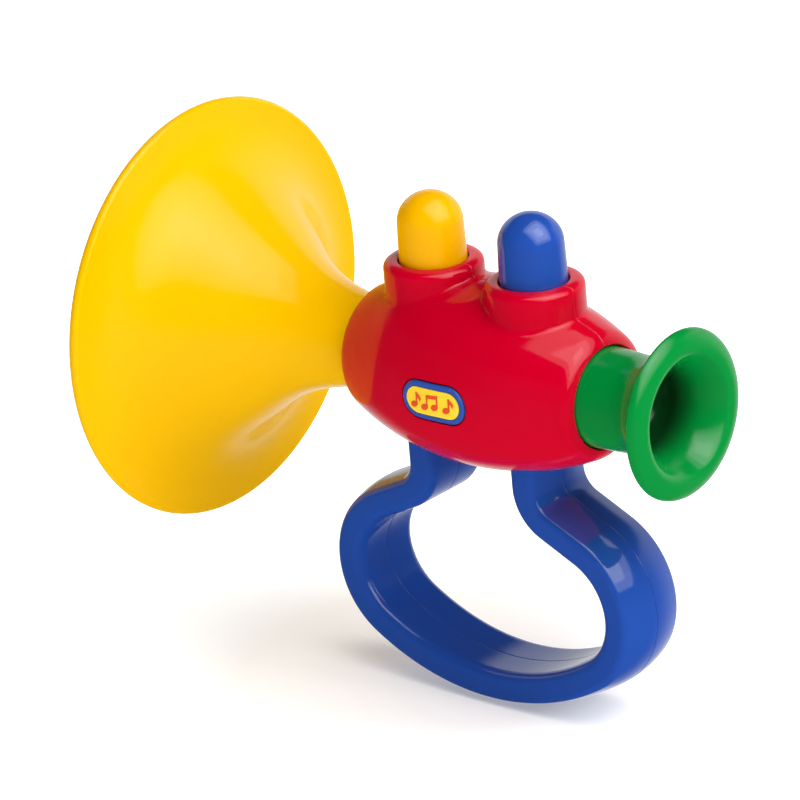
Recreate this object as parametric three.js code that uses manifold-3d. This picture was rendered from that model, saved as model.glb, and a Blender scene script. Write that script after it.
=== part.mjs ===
// Toy trumpet with two spring buttons and a loop grip. Millimetres, +Z up.
// The bore runs along X: bell towards -X, mouthpiece towards +X. The shells part on the plane y = 0.
// Sizes and outlines below are written about the bore axis; the last lines set the grip on z = 0.
import * as THREE from 'three';
import { mergeVertices } from 'three/addons/utils/BufferGeometryUtils.js';
import Module from 'manifold-3d';

const wasm = await Module();
wasm.setup();

// Fits
const clearance = 0.3;
const seamGap = 0.3;
const overrun = 2;

// Body shells: a barrel with a crowned side and rounded ends
const bodyRadius = 26.7;
const bodyEndReach = 23.7;
const bodyShoulderRoom = 0.41;
const bodyEndRadius = 6;
const bodyWall = 2.4;
const bodyEndWall = 5.1;

// Bell: a neck that widens slowly to the start of the flare, and the flare out to a wide beaded rim.
// Its slopes are angles to the bore, and its pull shares are shares of each stretch's chord.
const bellRimRadius = 60;
const bellReach = 60.2;
const bellNeckRadius = 12.2;
const bellNeckReach = 38;
const bellFlareRadius = 27.5;
const bellWall = 2;
const bellLipRadius = 1.6;
const bellFlangeOverhang = 2.8;
const bellNeckDegrees = 10.4;
const bellFlareDegrees = 38.2;
const bellRimDegrees = 90;
const bellNeckPullShare = 0.42;
const bellFlarePullShare = 0.44;
const bellRimPullShare = 0.4;

// Mouthpiece: a tube that flares into a cup with a thick round bead
const tubeRadius = 14.1;
const tubeEndRadius = 13.7;
const tubeReach = 9.6;
const mouthRimRadius = 23.9;
const mouthFlareLength = 14.9;
const mouthBeadRadius = 3.3;
const mouthBeadInset = 5;
const mouthRimPullShare = 0.38;
const mouthWall = 3;
const cupDepth = 17.6;
const cupBowlDepth = 11.4;
const cupBowlRadius = 11;
const tubeWall = 2.4;
const throatWall = 2;
const tubeHollowDepth = 12;
const throatRadius = 6;
const tubeFlangeOverhang = 1.9;
const cupPullShare = 0.55;
const flareTubePullShare = 0.5;
const flareRimPullShare = 0.3;

// Flanges that hold the bell and the mouthpiece behind the end walls
const flangeThickness = 2.2;

// Buttons and the collars that they stand in
const buttonSpacing = 35.4;
const buttonRadius = 9.5;
const buttonTopRadius = 9.2;
const buttonDomeHeight = 8.6;
const buttonStand = 19.1;
const buttonTravel = 7;
const buttonStopRoom = 1.2;
const buttonFlangeOverhang = 1.7;
const buttonFlangeThickness = 2;
const buttonWall = 2.3;
const buttonLedge = 0.8;
const buttonSkirt = 4.6;
const collarRadius = 14;
const collarStand = 3.6;
const collarLip = 3.3;
const collarEdge = 2.4;
const sleeveWall = 1.6;
const sleeveLength = 14.3;

// Valve plungers, pads and springs under the buttons
const plungerDiscThickness = 2;
const stemRadius = 2.2;
const stemTipRadius = 1.4;
const padRadius = 5;
const padThickness = 3;
const padFloor = 1;
const springRadius = 5;
const springWireRadius = 0.45;
const springTurnCount = 5;

// Reed box between the shells, with its lid, reed plates, tongues and rivets
const boxEndRoom = 2.3;
const boxSideRoom = 2;
const boxBottom = 10.5;
const boxWall = 2;
const boxFloor = 2.5;
const lidThickness = 2;
const lidBossRadius = 3.7;
const lidBossHeight = 1.6;
const portRadius = 3.2;
const spigotRadius = 5.2;
const spigotBore = 3.6;
const spigotLength = 7;
const reedPlateLength = 22;
const reedPlateWidth = 10;
const reedPlateThickness = 1;
const reedSlotLength = 13;
const reedSlotWidth = 2.6;
const tongueWidth = 2;
const tongueRootWidth = 5;
const tongueRootLength = 5;
const tongueThickness = 0.4;
const rivetRadius = 0.9;
const rivetHeadRadius = 1.7;
const rivetHeadHeight = 0.6;
const sealRadius = 8;
const sealThickness = 2.3;

// Saddle ribs that carry the reed box in each shell
const ribThickness = 2;
const ribInset = 6;
const ribTop = 8;

// Screws that join the shells, driven from the far side
const screwHeadRadius = 2.8;
const screwHeadHeight = 1.8;
const screwShankRadius = 1.3;
const screwBossRadius = 3.3;
const screwSeat = 10;
const screwDepth = 8;
const lowScrewDepth = 15.7;

// Grip loop: two legs that bend out over a shoulder into a flattened oval
const gripShift = -1;
const gripHalfWidth = 12;
const gripInnerDepth = 4.2;
const gripInnerRound = 3.4;
const gripOuterDepth = 4.7;
const gripOuterRound = 2.5;
const gripCrown = 1.5;
const gripLandHalfWidth = 4;
const gripWall = 2;
const gripLegSpread = 17.8;
const gripLegDrop = 1.4;
const gripBendRadius = 11.4;
const gripShoulderDegrees = 25.4;
const gripEndSpread = 27;
const gripEndRadius = 20.3;
const gripBottomRadius = 71;
const footFlangeHeight = 2.3;
const footFlangeOverhang = 1.1;
const footFlangeHalfWidth = 7.5;

// Badge on the near side: a curved pill in a shallow pocket
const badgeLength = 21.4;
const badgeHeight = 10.9;
const badgeThickness = 1;
const badgeStandProud = 0.35;
const badgeShift = 0.9;

// How finely round shapes are cut
const bellSegments = 48;
const bodySegments = 44;
const tubeSegments = 32;
const buttonSegments = 24;
const smallSegments = 16;
const screwSegments = 12;
const gripSteps = 61;
const gripSamples = 120;
const springSteps = 8;
const springSides = 5;
const neckCuts = 4;
const flareCuts = 6;
const lipCuts = 6;
const mouthCuts = 6;
const beadCuts = 6;
const crownCuts = 5;
const cornerCuts = 4;
const edgeCuts = 2;
const domeCuts = 6;
const hollowCuts = 3;

// Finishes: gloss coloured plastics, rubber, brass, steel
const yellow = { color: 0xf2b800, roughness: 0.25, metalness: 0 };
const red = { color: 0xd00026, roughness: 0.25, metalness: 0 };
const blue = { color: 0x2850a5, roughness: 0.25, metalness: 0 };
const green = { color: 0x009a3a, roughness: 0.25, metalness: 0 };
const natural = { color: 0xe8e6df, roughness: 0.5, metalness: 0 };
const rubber = { color: 0x3a3a3a, roughness: 0.9, metalness: 0 };
const brass = { color: 0xb58a3a, roughness: 0.35, metalness: 1 };
const steel = { color: 0x9a9ca0, roughness: 0.35, metalness: 1 };

const degree = Math.PI / 180;
const fullTurn = Math.PI * 2;
const quarterTurn = Math.PI / 2;

// Places along the bore and heights above it. The barrel's crown is a circle that comes down to a
// shoulder round the mouthpiece's flange.
const buttonX = buttonSpacing / 2;
const bodyHalfLength = buttonX + bodyEndReach;
const wallInside = bodyHalfLength - bodyEndWall;
const shoulderRadius = tubeRadius + tubeFlangeOverhang + clearance + bodyWall + bodyShoulderRoom;
const crownDrop = bodyRadius - shoulderRadius;
const bodyCrownRadius = (crownDrop ** 2 + wallInside ** 2) / (2 * crownDrop);
const crownCentre = bodyRadius - bodyCrownRadius;
const collarTop = bodyRadius + collarStand;
const lipUnderside = collarTop - collarLip;
const sleeveBottom = collarTop - sleeveLength;
const sleeveBore = buttonRadius + buttonFlangeOverhang + clearance;
const buttonFlangeTop = lipUnderside - clearance;
const buttonBottom = buttonFlangeTop - buttonSkirt;
const ledgeHeight = collarTop - buttonLedge;

// The valve box hangs under the buttons' lowest place, and its spigot meets the seal and the mouthpiece
const lidBossTop = buttonBottom - buttonTravel - buttonStopRoom;
const lidTop = lidBossTop - lidBossHeight;
const lidBottom = lidTop - lidThickness;
const boxTop = lidBottom - clearance;
const boxFloorTop = boxFloor - boxBottom;
const boxBellEnd = buttonX + padRadius + boxEndRoom + boxWall;
const boxMouthEnd = wallInside - 3 * clearance - flangeThickness - sealThickness;
const hollowRadius = (along) => crownCentre + Math.sqrt((bodyCrownRadius - bodyWall) ** 2 - along ** 2);
const boxHalfWidth = Math.sqrt(hollowRadius(boxMouthEnd) ** 2 - boxBottom ** 2) - boxSideRoom;
const reedPlateInset = boxBellEnd - 2 * clearance - reedPlateLength;
const topScrewHeight = lidTop + screwBossRadius + 2 * clearance;

// Heights in the valve: the pad closes its port when the button is right down
const padBottom = boxFloorTop + buttonTravel + clearance;
const stemTipEnd = padBottom + padFloor + clearance;
const stemShoulder = padBottom + padThickness + clearance;
const discTop = ledgeHeight - clearance;
const discBottom = discTop - plungerDiscThickness;

// The grip's feet sit just above the floor of the hollow
const footReach = gripLegSpread + gripOuterDepth + gripCrown + footFlangeOverhang;
const footFar = footReach + Math.abs(gripShift);
const footFloor = Math.sqrt(hollowRadius(footFar) ** 2 - footFlangeHalfWidth ** 2);
const footTop = footFloor - clearance - footFlangeHeight;
const lowScrewSpread = footFar + screwBossRadius + clearance;

// A geometry with shared corners, no collapsed faces, and its faces pointing out
function closed(geometry) {
  const bare = new THREE.BufferGeometry();
  bare.setAttribute('position', geometry.getAttribute('position').clone());
  if (geometry.index) bare.setIndex(geometry.index.clone());
  const merged = mergeVertices(bare);
  const at = merged.getAttribute('position');
  const corners = merged.index.array;
  const kept = [];
  let volume = 0;
  const a = new THREE.Vector3();
  const b = new THREE.Vector3();
  const c = new THREE.Vector3();
  for (let i = 0; i < corners.length; i += 3) {
    const [p, q, r] = [corners[i], corners[i + 1], corners[i + 2]];
    if (p === q || q === r || r === p) continue;
    kept.push([p, q, r]);
    a.fromBufferAttribute(at, p);
    b.fromBufferAttribute(at, q);
    c.fromBufferAttribute(at, r);
    volume += a.dot(b.cross(c));
  }
  merged.setIndex(kept.flatMap(([p, q, r]) => (volume < 0 ? [p, r, q] : [p, q, r])));
  return merged;
}

function solid(geometry) {
  const shape = closed(geometry);
  return new wasm.Manifold(new wasm.Mesh({
    numProp: 3,
    vertProperties: new Float32Array(shape.getAttribute('position').array),
    triVerts: new Uint32Array(shape.index.array),
  }));
}

function geometryOf(shape) {
  const mesh = shape.getMesh();
  const geometry = new THREE.BufferGeometry();
  geometry.setAttribute('position', new THREE.BufferAttribute(new Float32Array(mesh.vertProperties), 3));
  geometry.setIndex(Array.from(mesh.triVerts));
  return geometry;
}

// Turned shapes. A profile is a list of [along, radius] pairs that closes on itself or on the axis.
function turned(profile, segments) {
  const points = profile.map(([along, radius]) => new THREE.Vector2(radius, along));
  return new THREE.LatheGeometry(points, segments);
}

function turnedOnX(profile, segments) {
  return turned(profile, segments).rotateZ(-quarterTurn);
}

function turnedOnY(profile, segments) {
  return turned(profile, segments);
}

function turnedOnZ(profile, segments) {
  return turned(profile, segments).rotateX(quarterTurn);
}

function rod(low, high, radius) {
  return [[low, 0], [low, radius], [high, radius], [high, 0]];
}

function block(x0, x1, y0, y1, z0, z1) {
  const geometry = new THREE.BoxGeometry(x1 - x0, y1 - y0, z1 - z0);
  return geometry.translate((x0 + x1) / 2, (y0 + y1) / 2, (z0 + z1) / 2);
}

function arc(centreAlong, centreRadius, radius, from, to, cuts) {
  const points = [];
  for (let i = 0; i <= cuts; i += 1) {
    const angle = from + (to - from) * i / cuts;
    points.push([centreAlong + radius * Math.cos(angle), centreRadius + radius * Math.sin(angle)]);
  }
  return points;
}

// A Bezier stretch of a profile, and the same stretch moved to its left by an offset
function stretch(start, startPull, endPull, end, cuts, offset) {
  const curve = new THREE.CubicBezierCurve(
    new THREE.Vector2(...start),
    new THREE.Vector2(...startPull),
    new THREE.Vector2(...endPull),
    new THREE.Vector2(...end),
  );
  const points = [];
  for (let i = 0; i <= cuts; i += 1) {
    const at = curve.getPoint(i / cuts);
    const way = curve.getTangent(i / cuts);
    points.push([at.x - way.y * offset, at.y + way.x * offset]);
  }
  return points;
}

// Body barrel: the crown circle, then a corner circle tangent to it and to the flat end.
// grow moves the whole outline out, or in where it is negative.
function barrelProfile(grow) {
  const crownRadius = bodyCrownRadius + grow;
  const cornerRadius = bodyEndRadius + grow;
  const cornerAlong = bodyHalfLength - bodyEndRadius;
  const cornerReach = bodyCrownRadius - bodyEndRadius;
  const cornerCentre = crownCentre + Math.sqrt(cornerReach ** 2 - cornerAlong ** 2);
  const lean = Math.atan2(cornerCentre - crownCentre, cornerAlong);
  const right = [
    ...arc(0, crownCentre, crownRadius, quarterTurn, lean, crownCuts),
    ...arc(cornerAlong, cornerCentre, cornerRadius, lean, 0, cornerCuts).slice(1),
    [bodyHalfLength + grow, 0],
  ];
  const left = right.slice(1).map(([along, radius]) => [-along, radius]).reverse();
  return [...left, ...right];
}

// The hollow of the barrel: the crown less the wall, with flat end walls
function hollowProfile() {
  const reach = Math.acos(wallInside / (bodyCrownRadius - bodyWall));
  const crown = arc(0, crownCentre, bodyCrownRadius - bodyWall, Math.PI - reach, reach, 2 * crownCuts);
  return [[-wallInside, 0], ...crown, [wallInside, 0]];
}

// Grip section: a flat inner face, side faces between two rounds, and an outer face that rises to a
// narrow flat land. The outline is [across, out] for the side across > 0, grown by an offset.
function gripEdge(grow, cuts) {
  const innerCentre = gripHalfWidth - gripInnerRound;
  const outerCentre = gripHalfWidth - gripOuterRound;
  const innerOut = gripInnerRound - gripInnerDepth;
  const outerOut = gripOuterDepth - gripOuterRound;
  return [
    ...arc(innerCentre, innerOut, gripInnerRound + grow, -quarterTurn, 0, cuts),
    ...arc(outerCentre, outerOut, gripOuterRound + grow, 0, quarterTurn, cuts),
  ];
}

function gripHalfShell() {
  const outside = gripEdge(0, edgeCuts);
  const inside = gripEdge(-gripWall, edgeCuts - 1).reverse();
  const start = seamGap / 2;
  const top = gripOuterDepth + gripCrown;
  return new THREE.Shape([
    new THREE.Vector2(start, -gripInnerDepth),
    ...outside.map(([across, out]) => new THREE.Vector2(across, out)),
    new THREE.Vector2(gripLandHalfWidth, top),
    new THREE.Vector2(start, top),
    new THREE.Vector2(start, top - gripWall),
    new THREE.Vector2(gripLandHalfWidth, top - gripWall),
    ...inside.map(([across, out]) => new THREE.Vector2(across, out)),
    new THREE.Vector2(start, gripWall - gripInnerDepth),
  ]);
}

// The hole that a leg passes through: its whole section with clearance all round
function legHole(side) {
  const right = gripEdge(clearance, edgeCuts);
  const left = right.map(([across, out]) => [-across, out]).reverse();
  const top = gripOuterDepth + gripCrown + clearance;
  const outline = [...right, [gripLandHalfWidth, top], [-gripLandHalfWidth, top], ...left];
  const shape = new THREE.Shape(outline.map(([across, out]) => new THREE.Vector2(side * out, across)));
  const hole = new THREE.ExtrudeGeometry(shape, { depth: bodyRadius, bevelEnabled: false, steps: 1 });
  return hole.translate(gripShift + side * gripLegSpread, 0, -bodyRadius - overrun);
}

// Grip path in the plane y = 0: leg, bend, shoulder, end arc, bottom arc, and back up the other side.
// It starts from the leg, and each stretch is tangent to the one before.
function gripPath() {
  const slope = gripShoulderDegrees * degree;
  const bendX = gripLegSpread + gripBendRadius;
  const bendZ = -bodyRadius - gripLegDrop;
  const shoulderX = gripEndSpread + gripEndRadius * Math.sin(slope);
  const shoulderZ = bendZ - (gripBendRadius - Math.sin(slope) * (bendX - shoulderX)) / Math.cos(slope);
  const endZ = shoulderZ - gripEndRadius * Math.cos(slope);
  const bottomCentre = endZ + Math.sqrt((gripBottomRadius - gripEndRadius) ** 2 - gripEndSpread ** 2);
  const joinAngle = Math.atan2(endZ - bottomCentre, gripEndSpread);
  const path = new THREE.Path();
  path.moveTo(-gripLegSpread, -footTop);
  path.lineTo(-gripLegSpread, bendZ);
  path.absarc(-bendX, bendZ, gripBendRadius, 0, slope - quarterTurn, true);
  path.lineTo(-shoulderX, shoulderZ);
  path.absarc(-gripEndSpread, endZ, gripEndRadius, quarterTurn + slope, Math.PI - joinAngle, false);
  path.absarc(0, bottomCentre, gripBottomRadius, Math.PI - joinAngle, fullTurn + joinAngle, false);
  path.absarc(gripEndSpread, endZ, gripEndRadius, joinAngle, quarterTurn - slope, false);
  path.lineTo(bendX - gripBendRadius * Math.sin(slope), bendZ - gripBendRadius * Math.cos(slope));
  path.absarc(bendX, bendZ, gripBendRadius, Math.PI + quarterTurn - slope, Math.PI, true);
  path.lineTo(gripLegSpread, -footTop);
  const points = path.getSpacedPoints(gripSamples).map((at) => new THREE.Vector3(at.x, 0, at.y));
  return new THREE.CatmullRomCurve3(points, false, 'centripetal');
}

// One half of the grip, with the feet that lock it behind the body's floor
function gripShell(side) {
  const sweep = new THREE.ExtrudeGeometry(gripHalfShell(), { steps: gripSteps, extrudePath: gripPath() });
  if (side > 0) sweep.scale(1, -1, 1);
  let shell = solid(sweep);
  for (const leg of [-1, 1]) {
    const inner = gripLegSpread - gripInnerDepth - footFlangeOverhang;
    const [x0, x1] = leg < 0 ? [-footReach, -inner] : [inner, footReach];
    const [y0, y1] = side < 0 ? [-footFlangeHalfWidth, -seamGap / 2] : [seamGap / 2, footFlangeHalfWidth];
    shell = shell.add(solid(block(x0, x1, y0, y1, -footTop - footFlangeHeight, -footTop)));
  }
  return shell.translate([gripShift, 0, 0]);
}

const screwPlaces = [
  [0, topScrewHeight],
  [-lowScrewSpread, -lowScrewDepth],
  [lowScrewSpread, -lowScrewDepth],
];

function pill(length, height, depth) {
  const half = height / 2;
  const straight = length / 2 - half;
  const shape = new THREE.Shape();
  shape.moveTo(-straight, -half);
  shape.lineTo(straight, -half);
  shape.absarc(straight, 0, half, -quarterTurn, quarterTurn, false);
  shape.lineTo(-straight, half);
  shape.absarc(-straight, 0, half, quarterTurn, 3 * quarterTurn, false);
  const options = { depth, bevelEnabled: false, steps: 1, curveSegments: cornerCuts * 2 };
  return new THREE.ExtrudeGeometry(shape, options).rotateX(quarterTurn).translate(badgeShift, 0, 0);
}

// Both body shells as one hollow barrel with collars, sleeves, ribs and screw bosses, not yet parted
function wholeBody() {
  const collar = [
    [0, 0],
    [0, collarRadius],
    ...arc(collarTop - collarEdge, collarRadius - collarEdge, collarEdge, quarterTurn, 0, cornerCuts),
    [collarTop, 0],
  ];
  let outside = solid(turnedOnX(barrelProfile(0), bodySegments));
  for (const x of [-buttonX, buttonX]) {
    outside = outside.add(solid(turnedOnZ(collar, buttonSegments).translate(x, 0, 0)));
  }
  const ribHalf = ribThickness / 2;
  let fittings = solid(block(-ribHalf, ribHalf, -bodyRadius, -ribInset, -bodyRadius, ribTop));
  fittings = fittings.add(solid(block(-ribHalf, ribHalf, ribInset, bodyRadius, -bodyRadius, ribTop)));
  for (const x of [-buttonX, buttonX]) {
    const sleeve = rod(sleeveBottom, collarTop - collarEdge, sleeveBore + sleeveWall);
    fittings = fittings.add(solid(turnedOnZ(sleeve, buttonSegments).translate(x, 0, 0)));
  }
  for (const [x, z] of screwPlaces) {
    const boss = rod(-bodyRadius, bodyRadius, screwBossRadius);
    fittings = fittings.add(solid(turnedOnY(boss, screwSegments).translate(x, 0, z)));
  }
  const boxRoom = block(
    -boxBellEnd - clearance, boxMouthEnd + clearance,
    -boxHalfWidth - clearance, boxHalfWidth + clearance,
    -boxBottom - clearance, lidTop + clearance,
  );
  fittings = fittings.subtract(solid(boxRoom)).intersect(outside);
  let body = outside.subtract(solid(turnedOnX(hollowProfile(), bodySegments))).add(fittings);
  for (const x of [-buttonX, buttonX]) {
    const bore = [
      [sleeveBottom - overrun, 0],
      [sleeveBottom - overrun, sleeveBore],
      [lipUnderside, sleeveBore],
      [lipUnderside, buttonRadius + clearance],
      [collarTop + overrun, buttonRadius + clearance],
      [collarTop + overrun, 0],
    ];
    body = body.subtract(solid(turnedOnZ(bore, buttonSegments).translate(x, 0, 0)));
  }
  const outerEnd = bodyHalfLength + overrun;
  const innerEnd = wallInside - flangeThickness - overrun;
  const bellHole = rod(-outerEnd, -innerEnd, bellNeckRadius + clearance);
  const tubeHole = rod(innerEnd, outerEnd, tubeRadius + clearance);
  const bellFlangeRoom = rod(-wallInside, -innerEnd, bellNeckRadius + bellFlangeOverhang + clearance);
  const tubeFlangeRoom = rod(innerEnd, wallInside, tubeRadius + tubeFlangeOverhang + clearance);
  body = body.subtract(solid(turnedOnX(bellHole, bellSegments)));
  body = body.subtract(solid(turnedOnX(tubeHole, tubeSegments)));
  body = body.subtract(solid(turnedOnX(bellFlangeRoom, bellSegments)));
  body = body.subtract(solid(turnedOnX(tubeFlangeRoom, tubeSegments)));
  body = body.subtract(solid(legHole(-1))).subtract(solid(legHole(1)));
  return body;
}

function bodyShell(side) {
  const far = bodyHalfLength + bodyRadius + collarTop;
  const half = side < 0 ? [-far, -seamGap / 2] : [seamGap / 2, far];
  let shell = wholeBody().intersect(solid(block(-far, far, half[0], half[1], -far, far)));
  for (const [x, z] of screwPlaces) {
    const shank = rod(-screwDepth - 2 * clearance, bodyRadius, screwShankRadius + clearance);
    shell = shell.subtract(solid(turnedOnY(shank, screwSegments).translate(x, 0, z)));
    if (side > 0) {
      const well = rod(screwSeat, bodyRadius + overrun, screwHeadRadius + clearance);
      shell = shell.subtract(solid(turnedOnY(well, screwSegments).translate(x, 0, z)));
    }
  }
  if (side < 0) {
    const room = pill(badgeLength + 2 * clearance, badgeHeight + 2 * clearance, bodyRadius + overrun);
    const floor = solid(turnedOnX(barrelProfile(badgeStandProud - badgeThickness - clearance), bodySegments));
    shell = shell.subtract(solid(room).subtract(floor));
  }
  return shell;
}

function badge() {
  const front = solid(turnedOnX(barrelProfile(badgeStandProud), bodySegments));
  const back = solid(turnedOnX(barrelProfile(badgeStandProud - badgeThickness), bodySegments));
  return front.subtract(back).intersect(solid(pill(badgeLength, badgeHeight, bodyRadius + overrun)));
}

// The bell's curve from the body out to the rim, as a neck and a flare, moved in by an offset
function bellCurve(cuts, offset) {
  const neck = [-bodyHalfLength, bellNeckRadius];
  const flare = [-bodyHalfLength - bellNeckReach, bellFlareRadius];
  const rim = [-bodyHalfLength - bellReach + bellWall / 2, bellRimRadius - bellLipRadius];
  const neckChord = Math.hypot(flare[0] - neck[0], flare[1] - neck[1]);
  const flareChord = Math.hypot(rim[0] - flare[0], rim[1] - flare[1]);
  const pulled = (point, degrees, pull) => {
    const slope = degrees * degree;
    return [point[0] - pull * Math.cos(slope), point[1] + pull * Math.sin(slope)];
  };
  const neckStretch = stretch(
    neck,
    pulled(neck, bellNeckDegrees, bellNeckPullShare * neckChord),
    pulled(flare, bellFlareDegrees, -bellNeckPullShare * neckChord),
    flare,
    cuts[0],
    offset,
  );
  const flareStretch = stretch(
    flare,
    pulled(flare, bellFlareDegrees, bellFlarePullShare * flareChord),
    pulled(rim, bellRimDegrees, -bellRimPullShare * flareChord),
    rim,
    cuts[1],
    offset,
  );
  return [...neckStretch, ...flareStretch.slice(1)];
}

// Bell, from the flange inside the body along the outside to the lip, and back along the inside
function bell() {
  const rim = -bodyHalfLength - bellReach;
  const flangeRadius = bellNeckRadius + bellFlangeOverhang;
  const outside = bellCurve([neckCuts, flareCuts], 0);
  const inside = bellCurve([neckCuts - 1, flareCuts - 1], bellWall).reverse();
  const lip = arc(rim, bellRimRadius - bellLipRadius, bellLipRadius, 0, Math.PI, lipCuts);
  const boreRadius = inside[inside.length - 1][1];
  const flangeFront = clearance - wallInside;
  const flangeBack = flangeFront + flangeThickness;
  return turnedOnX([
    [flangeBack, boreRadius],
    [flangeBack, flangeRadius],
    [flangeFront, flangeRadius],
    [flangeFront, bellNeckRadius],
    ...outside.slice(0, -1),
    ...lip,
    ...inside.slice(1),
    [flangeBack, boreRadius],
  ], bellSegments);
}

// Mouthpiece, from the flange inside the body along the outside to the bead, and back down the cup
function mouthpiece() {
  const flangeFront = wallInside - clearance;
  const flangeBack = flangeFront - flangeThickness;
  const flangeRadius = tubeRadius + tubeFlangeOverhang;
  const flareStart = bodyHalfLength + tubeReach;
  const rim = flareStart + mouthFlareLength;
  const beadCentre = mouthRimRadius - mouthBeadInset;
  const flare = stretch(
    [flareStart, tubeEndRadius],
    [flareStart + flareTubePullShare * mouthFlareLength, tubeEndRadius],
    [rim - flareRimPullShare * mouthFlareLength, mouthRimRadius - flareRimPullShare * mouthRimRadius],
    [rim, mouthRimRadius],
    mouthCuts,
    0,
  );
  const edge = stretch(
    [rim, mouthRimRadius],
    [rim + mouthRimPullShare * mouthBeadRadius, mouthRimRadius],
    [rim + mouthBeadRadius, beadCentre + mouthRimPullShare * mouthBeadInset],
    [rim + mouthBeadRadius, beadCentre],
    beadCuts,
    0,
  );
  const bead = arc(rim, beadCentre, mouthBeadRadius, 0, -quarterTurn / 2, beadCuts / 2);
  const cupMouth = bead[bead.length - 1];
  const bowl = [rim - cupBowlDepth, cupBowlRadius];
  const cupFloor = [rim - cupDepth, throatRadius];
  const cupSide = stretch(
    cupMouth,
    [cupMouth[0] - mouthWall, cupMouth[1] - mouthWall],
    [bowl[0] + cupPullShare * cupBowlDepth, cupBowlRadius],
    bowl,
    mouthCuts / 2,
    0,
  );
  const cupEnd = stretch(
    bowl,
    [bowl[0] - cupPullShare * (cupDepth - cupBowlDepth), cupBowlRadius],
    [cupFloor[0], throatRadius + cupPullShare * (cupBowlRadius - throatRadius)],
    cupFloor,
    mouthCuts / 2,
    0,
  );
  const spoutRadius = throatRadius + throatWall;
  const hollowRadius = tubeEndRadius - tubeWall;
  return turnedOnX([
    [flangeBack, throatRadius],
    [flangeBack, spoutRadius],
    [flangeBack + tubeHollowDepth, spoutRadius],
    [flangeBack + tubeHollowDepth, hollowRadius],
    [flangeBack, hollowRadius],
    [flangeBack, flangeRadius],
    [flangeFront, flangeRadius],
    [flangeFront, tubeRadius],
    [bodyHalfLength, tubeRadius],
    ...flare.slice(0, -1),
    ...edge,
    ...bead.slice(1),
    ...cupSide.slice(1),
    ...cupEnd.slice(1),
    [flangeBack, throatRadius],
  ], tubeSegments);
}

// Button cap: a hollow dome with a flange under the collar's lip and a ledge for the plunger
function buttonCap() {
  const top = collarTop + buttonStand;
  const shoulder = top - buttonDomeHeight;
  const inner = buttonRadius - buttonWall;
  const dome = (width, height, cuts) => arc(0, 0, 1, 0, quarterTurn, cuts)
    .map(([across, up]) => [shoulder + height * up, width * across]);
  const hollow = dome(inner - buttonLedge, buttonDomeHeight - buttonWall, hollowCuts).reverse();
  return turnedOnZ([
    [buttonBottom, inner],
    [buttonBottom, buttonRadius],
    [buttonFlangeTop - buttonFlangeThickness, buttonRadius],
    [buttonFlangeTop - buttonFlangeThickness, buttonRadius + buttonFlangeOverhang],
    [buttonFlangeTop, buttonRadius + buttonFlangeOverhang],
    [buttonFlangeTop, buttonRadius],
    [collarTop, buttonRadius],
    ...dome(buttonTopRadius, buttonDomeHeight, domeCuts),
    ...hollow,
    [ledgeHeight, inner - buttonLedge],
    [ledgeHeight, inner],
    [buttonBottom, inner],
  ], buttonSegments);
}

function plunger() {
  const disc = buttonRadius - buttonWall - clearance;
  return turnedOnZ([
    [stemTipEnd, 0],
    [stemTipEnd, stemTipRadius],
    [stemShoulder, stemTipRadius],
    [stemShoulder, stemRadius],
    [discBottom, stemRadius],
    [discBottom, disc],
    [discTop, disc],
    [discTop, 0],
  ], smallSegments);
}

function valvePad() {
  return turnedOnZ([
    [padBottom, 0],
    [padBottom, padRadius],
    [padBottom + padThickness, padRadius],
    [padBottom + padThickness, stemTipRadius + clearance],
    [padBottom + padFloor, stemTipRadius + clearance],
    [padBottom + padFloor, 0],
  ], smallSegments);
}

// Compression spring between the lid and the plunger's disc
class Helix extends THREE.Curve {
  constructor(low, high) {
    super();
    this.low = low;
    this.high = high;
  }

  getPoint(t, target = new THREE.Vector3()) {
    const angle = t * springTurnCount * fullTurn;
    const height = this.low + t * (this.high - this.low);
    return target.set(springRadius * Math.cos(angle), springRadius * Math.sin(angle), height);
  }
}

function spring() {
  const wire = [];
  for (let i = 0; i < springSides; i += 1) {
    const angle = i * fullTurn / springSides;
    wire.push(new THREE.Vector2(springWireRadius * Math.cos(angle), springWireRadius * Math.sin(angle)));
  }
  const low = lidTop + clearance + springWireRadius;
  const high = discBottom - clearance - springWireRadius;
  const steps = springSteps * springTurnCount;
  return new THREE.ExtrudeGeometry(new THREE.Shape(wire), { steps, extrudePath: new Helix(low, high) });
}

function reedBox() {
  const outer = solid(block(-boxBellEnd, boxMouthEnd, -boxHalfWidth, boxHalfWidth, -boxBottom, boxTop));
  const inner = solid(block(
    boxWall - boxBellEnd, boxMouthEnd - boxWall,
    boxWall - boxHalfWidth, boxHalfWidth - boxWall,
    boxFloorTop, boxTop + overrun,
  ));
  let box = outer.subtract(inner);
  const spigot = rod(boxMouthEnd - boxWall, boxMouthEnd + spigotLength, spigotRadius);
  box = box.add(solid(turnedOnX(spigot, smallSegments)));
  const air = rod(boxMouthEnd - boxWall - overrun, boxMouthEnd + spigotLength + overrun, spigotBore);
  box = box.subtract(solid(turnedOnX(air, smallSegments)));
  for (const x of [-buttonX, buttonX]) {
    const port = rod(-boxBottom - overrun, boxFloorTop + overrun, portRadius);
    box = box.subtract(solid(turnedOnZ(port, smallSegments).translate(x, 0, 0)));
  }
  return box;
}

function reedBoxLid() {
  let lid = solid(block(-boxBellEnd, boxMouthEnd, -boxHalfWidth, boxHalfWidth, lidBottom, lidTop));
  for (const x of [-buttonX, buttonX]) {
    const boss = rod(lidBottom, lidBossTop, lidBossRadius);
    const hole = rod(lidBottom - overrun, lidBossTop + overrun, stemRadius + clearance);
    lid = lid.add(solid(turnedOnZ(boss, smallSegments).translate(x, 0, 0)));
    lid = lid.subtract(solid(turnedOnZ(hole, smallSegments).translate(x, 0, 0)));
  }
  return lid;
}

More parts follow.
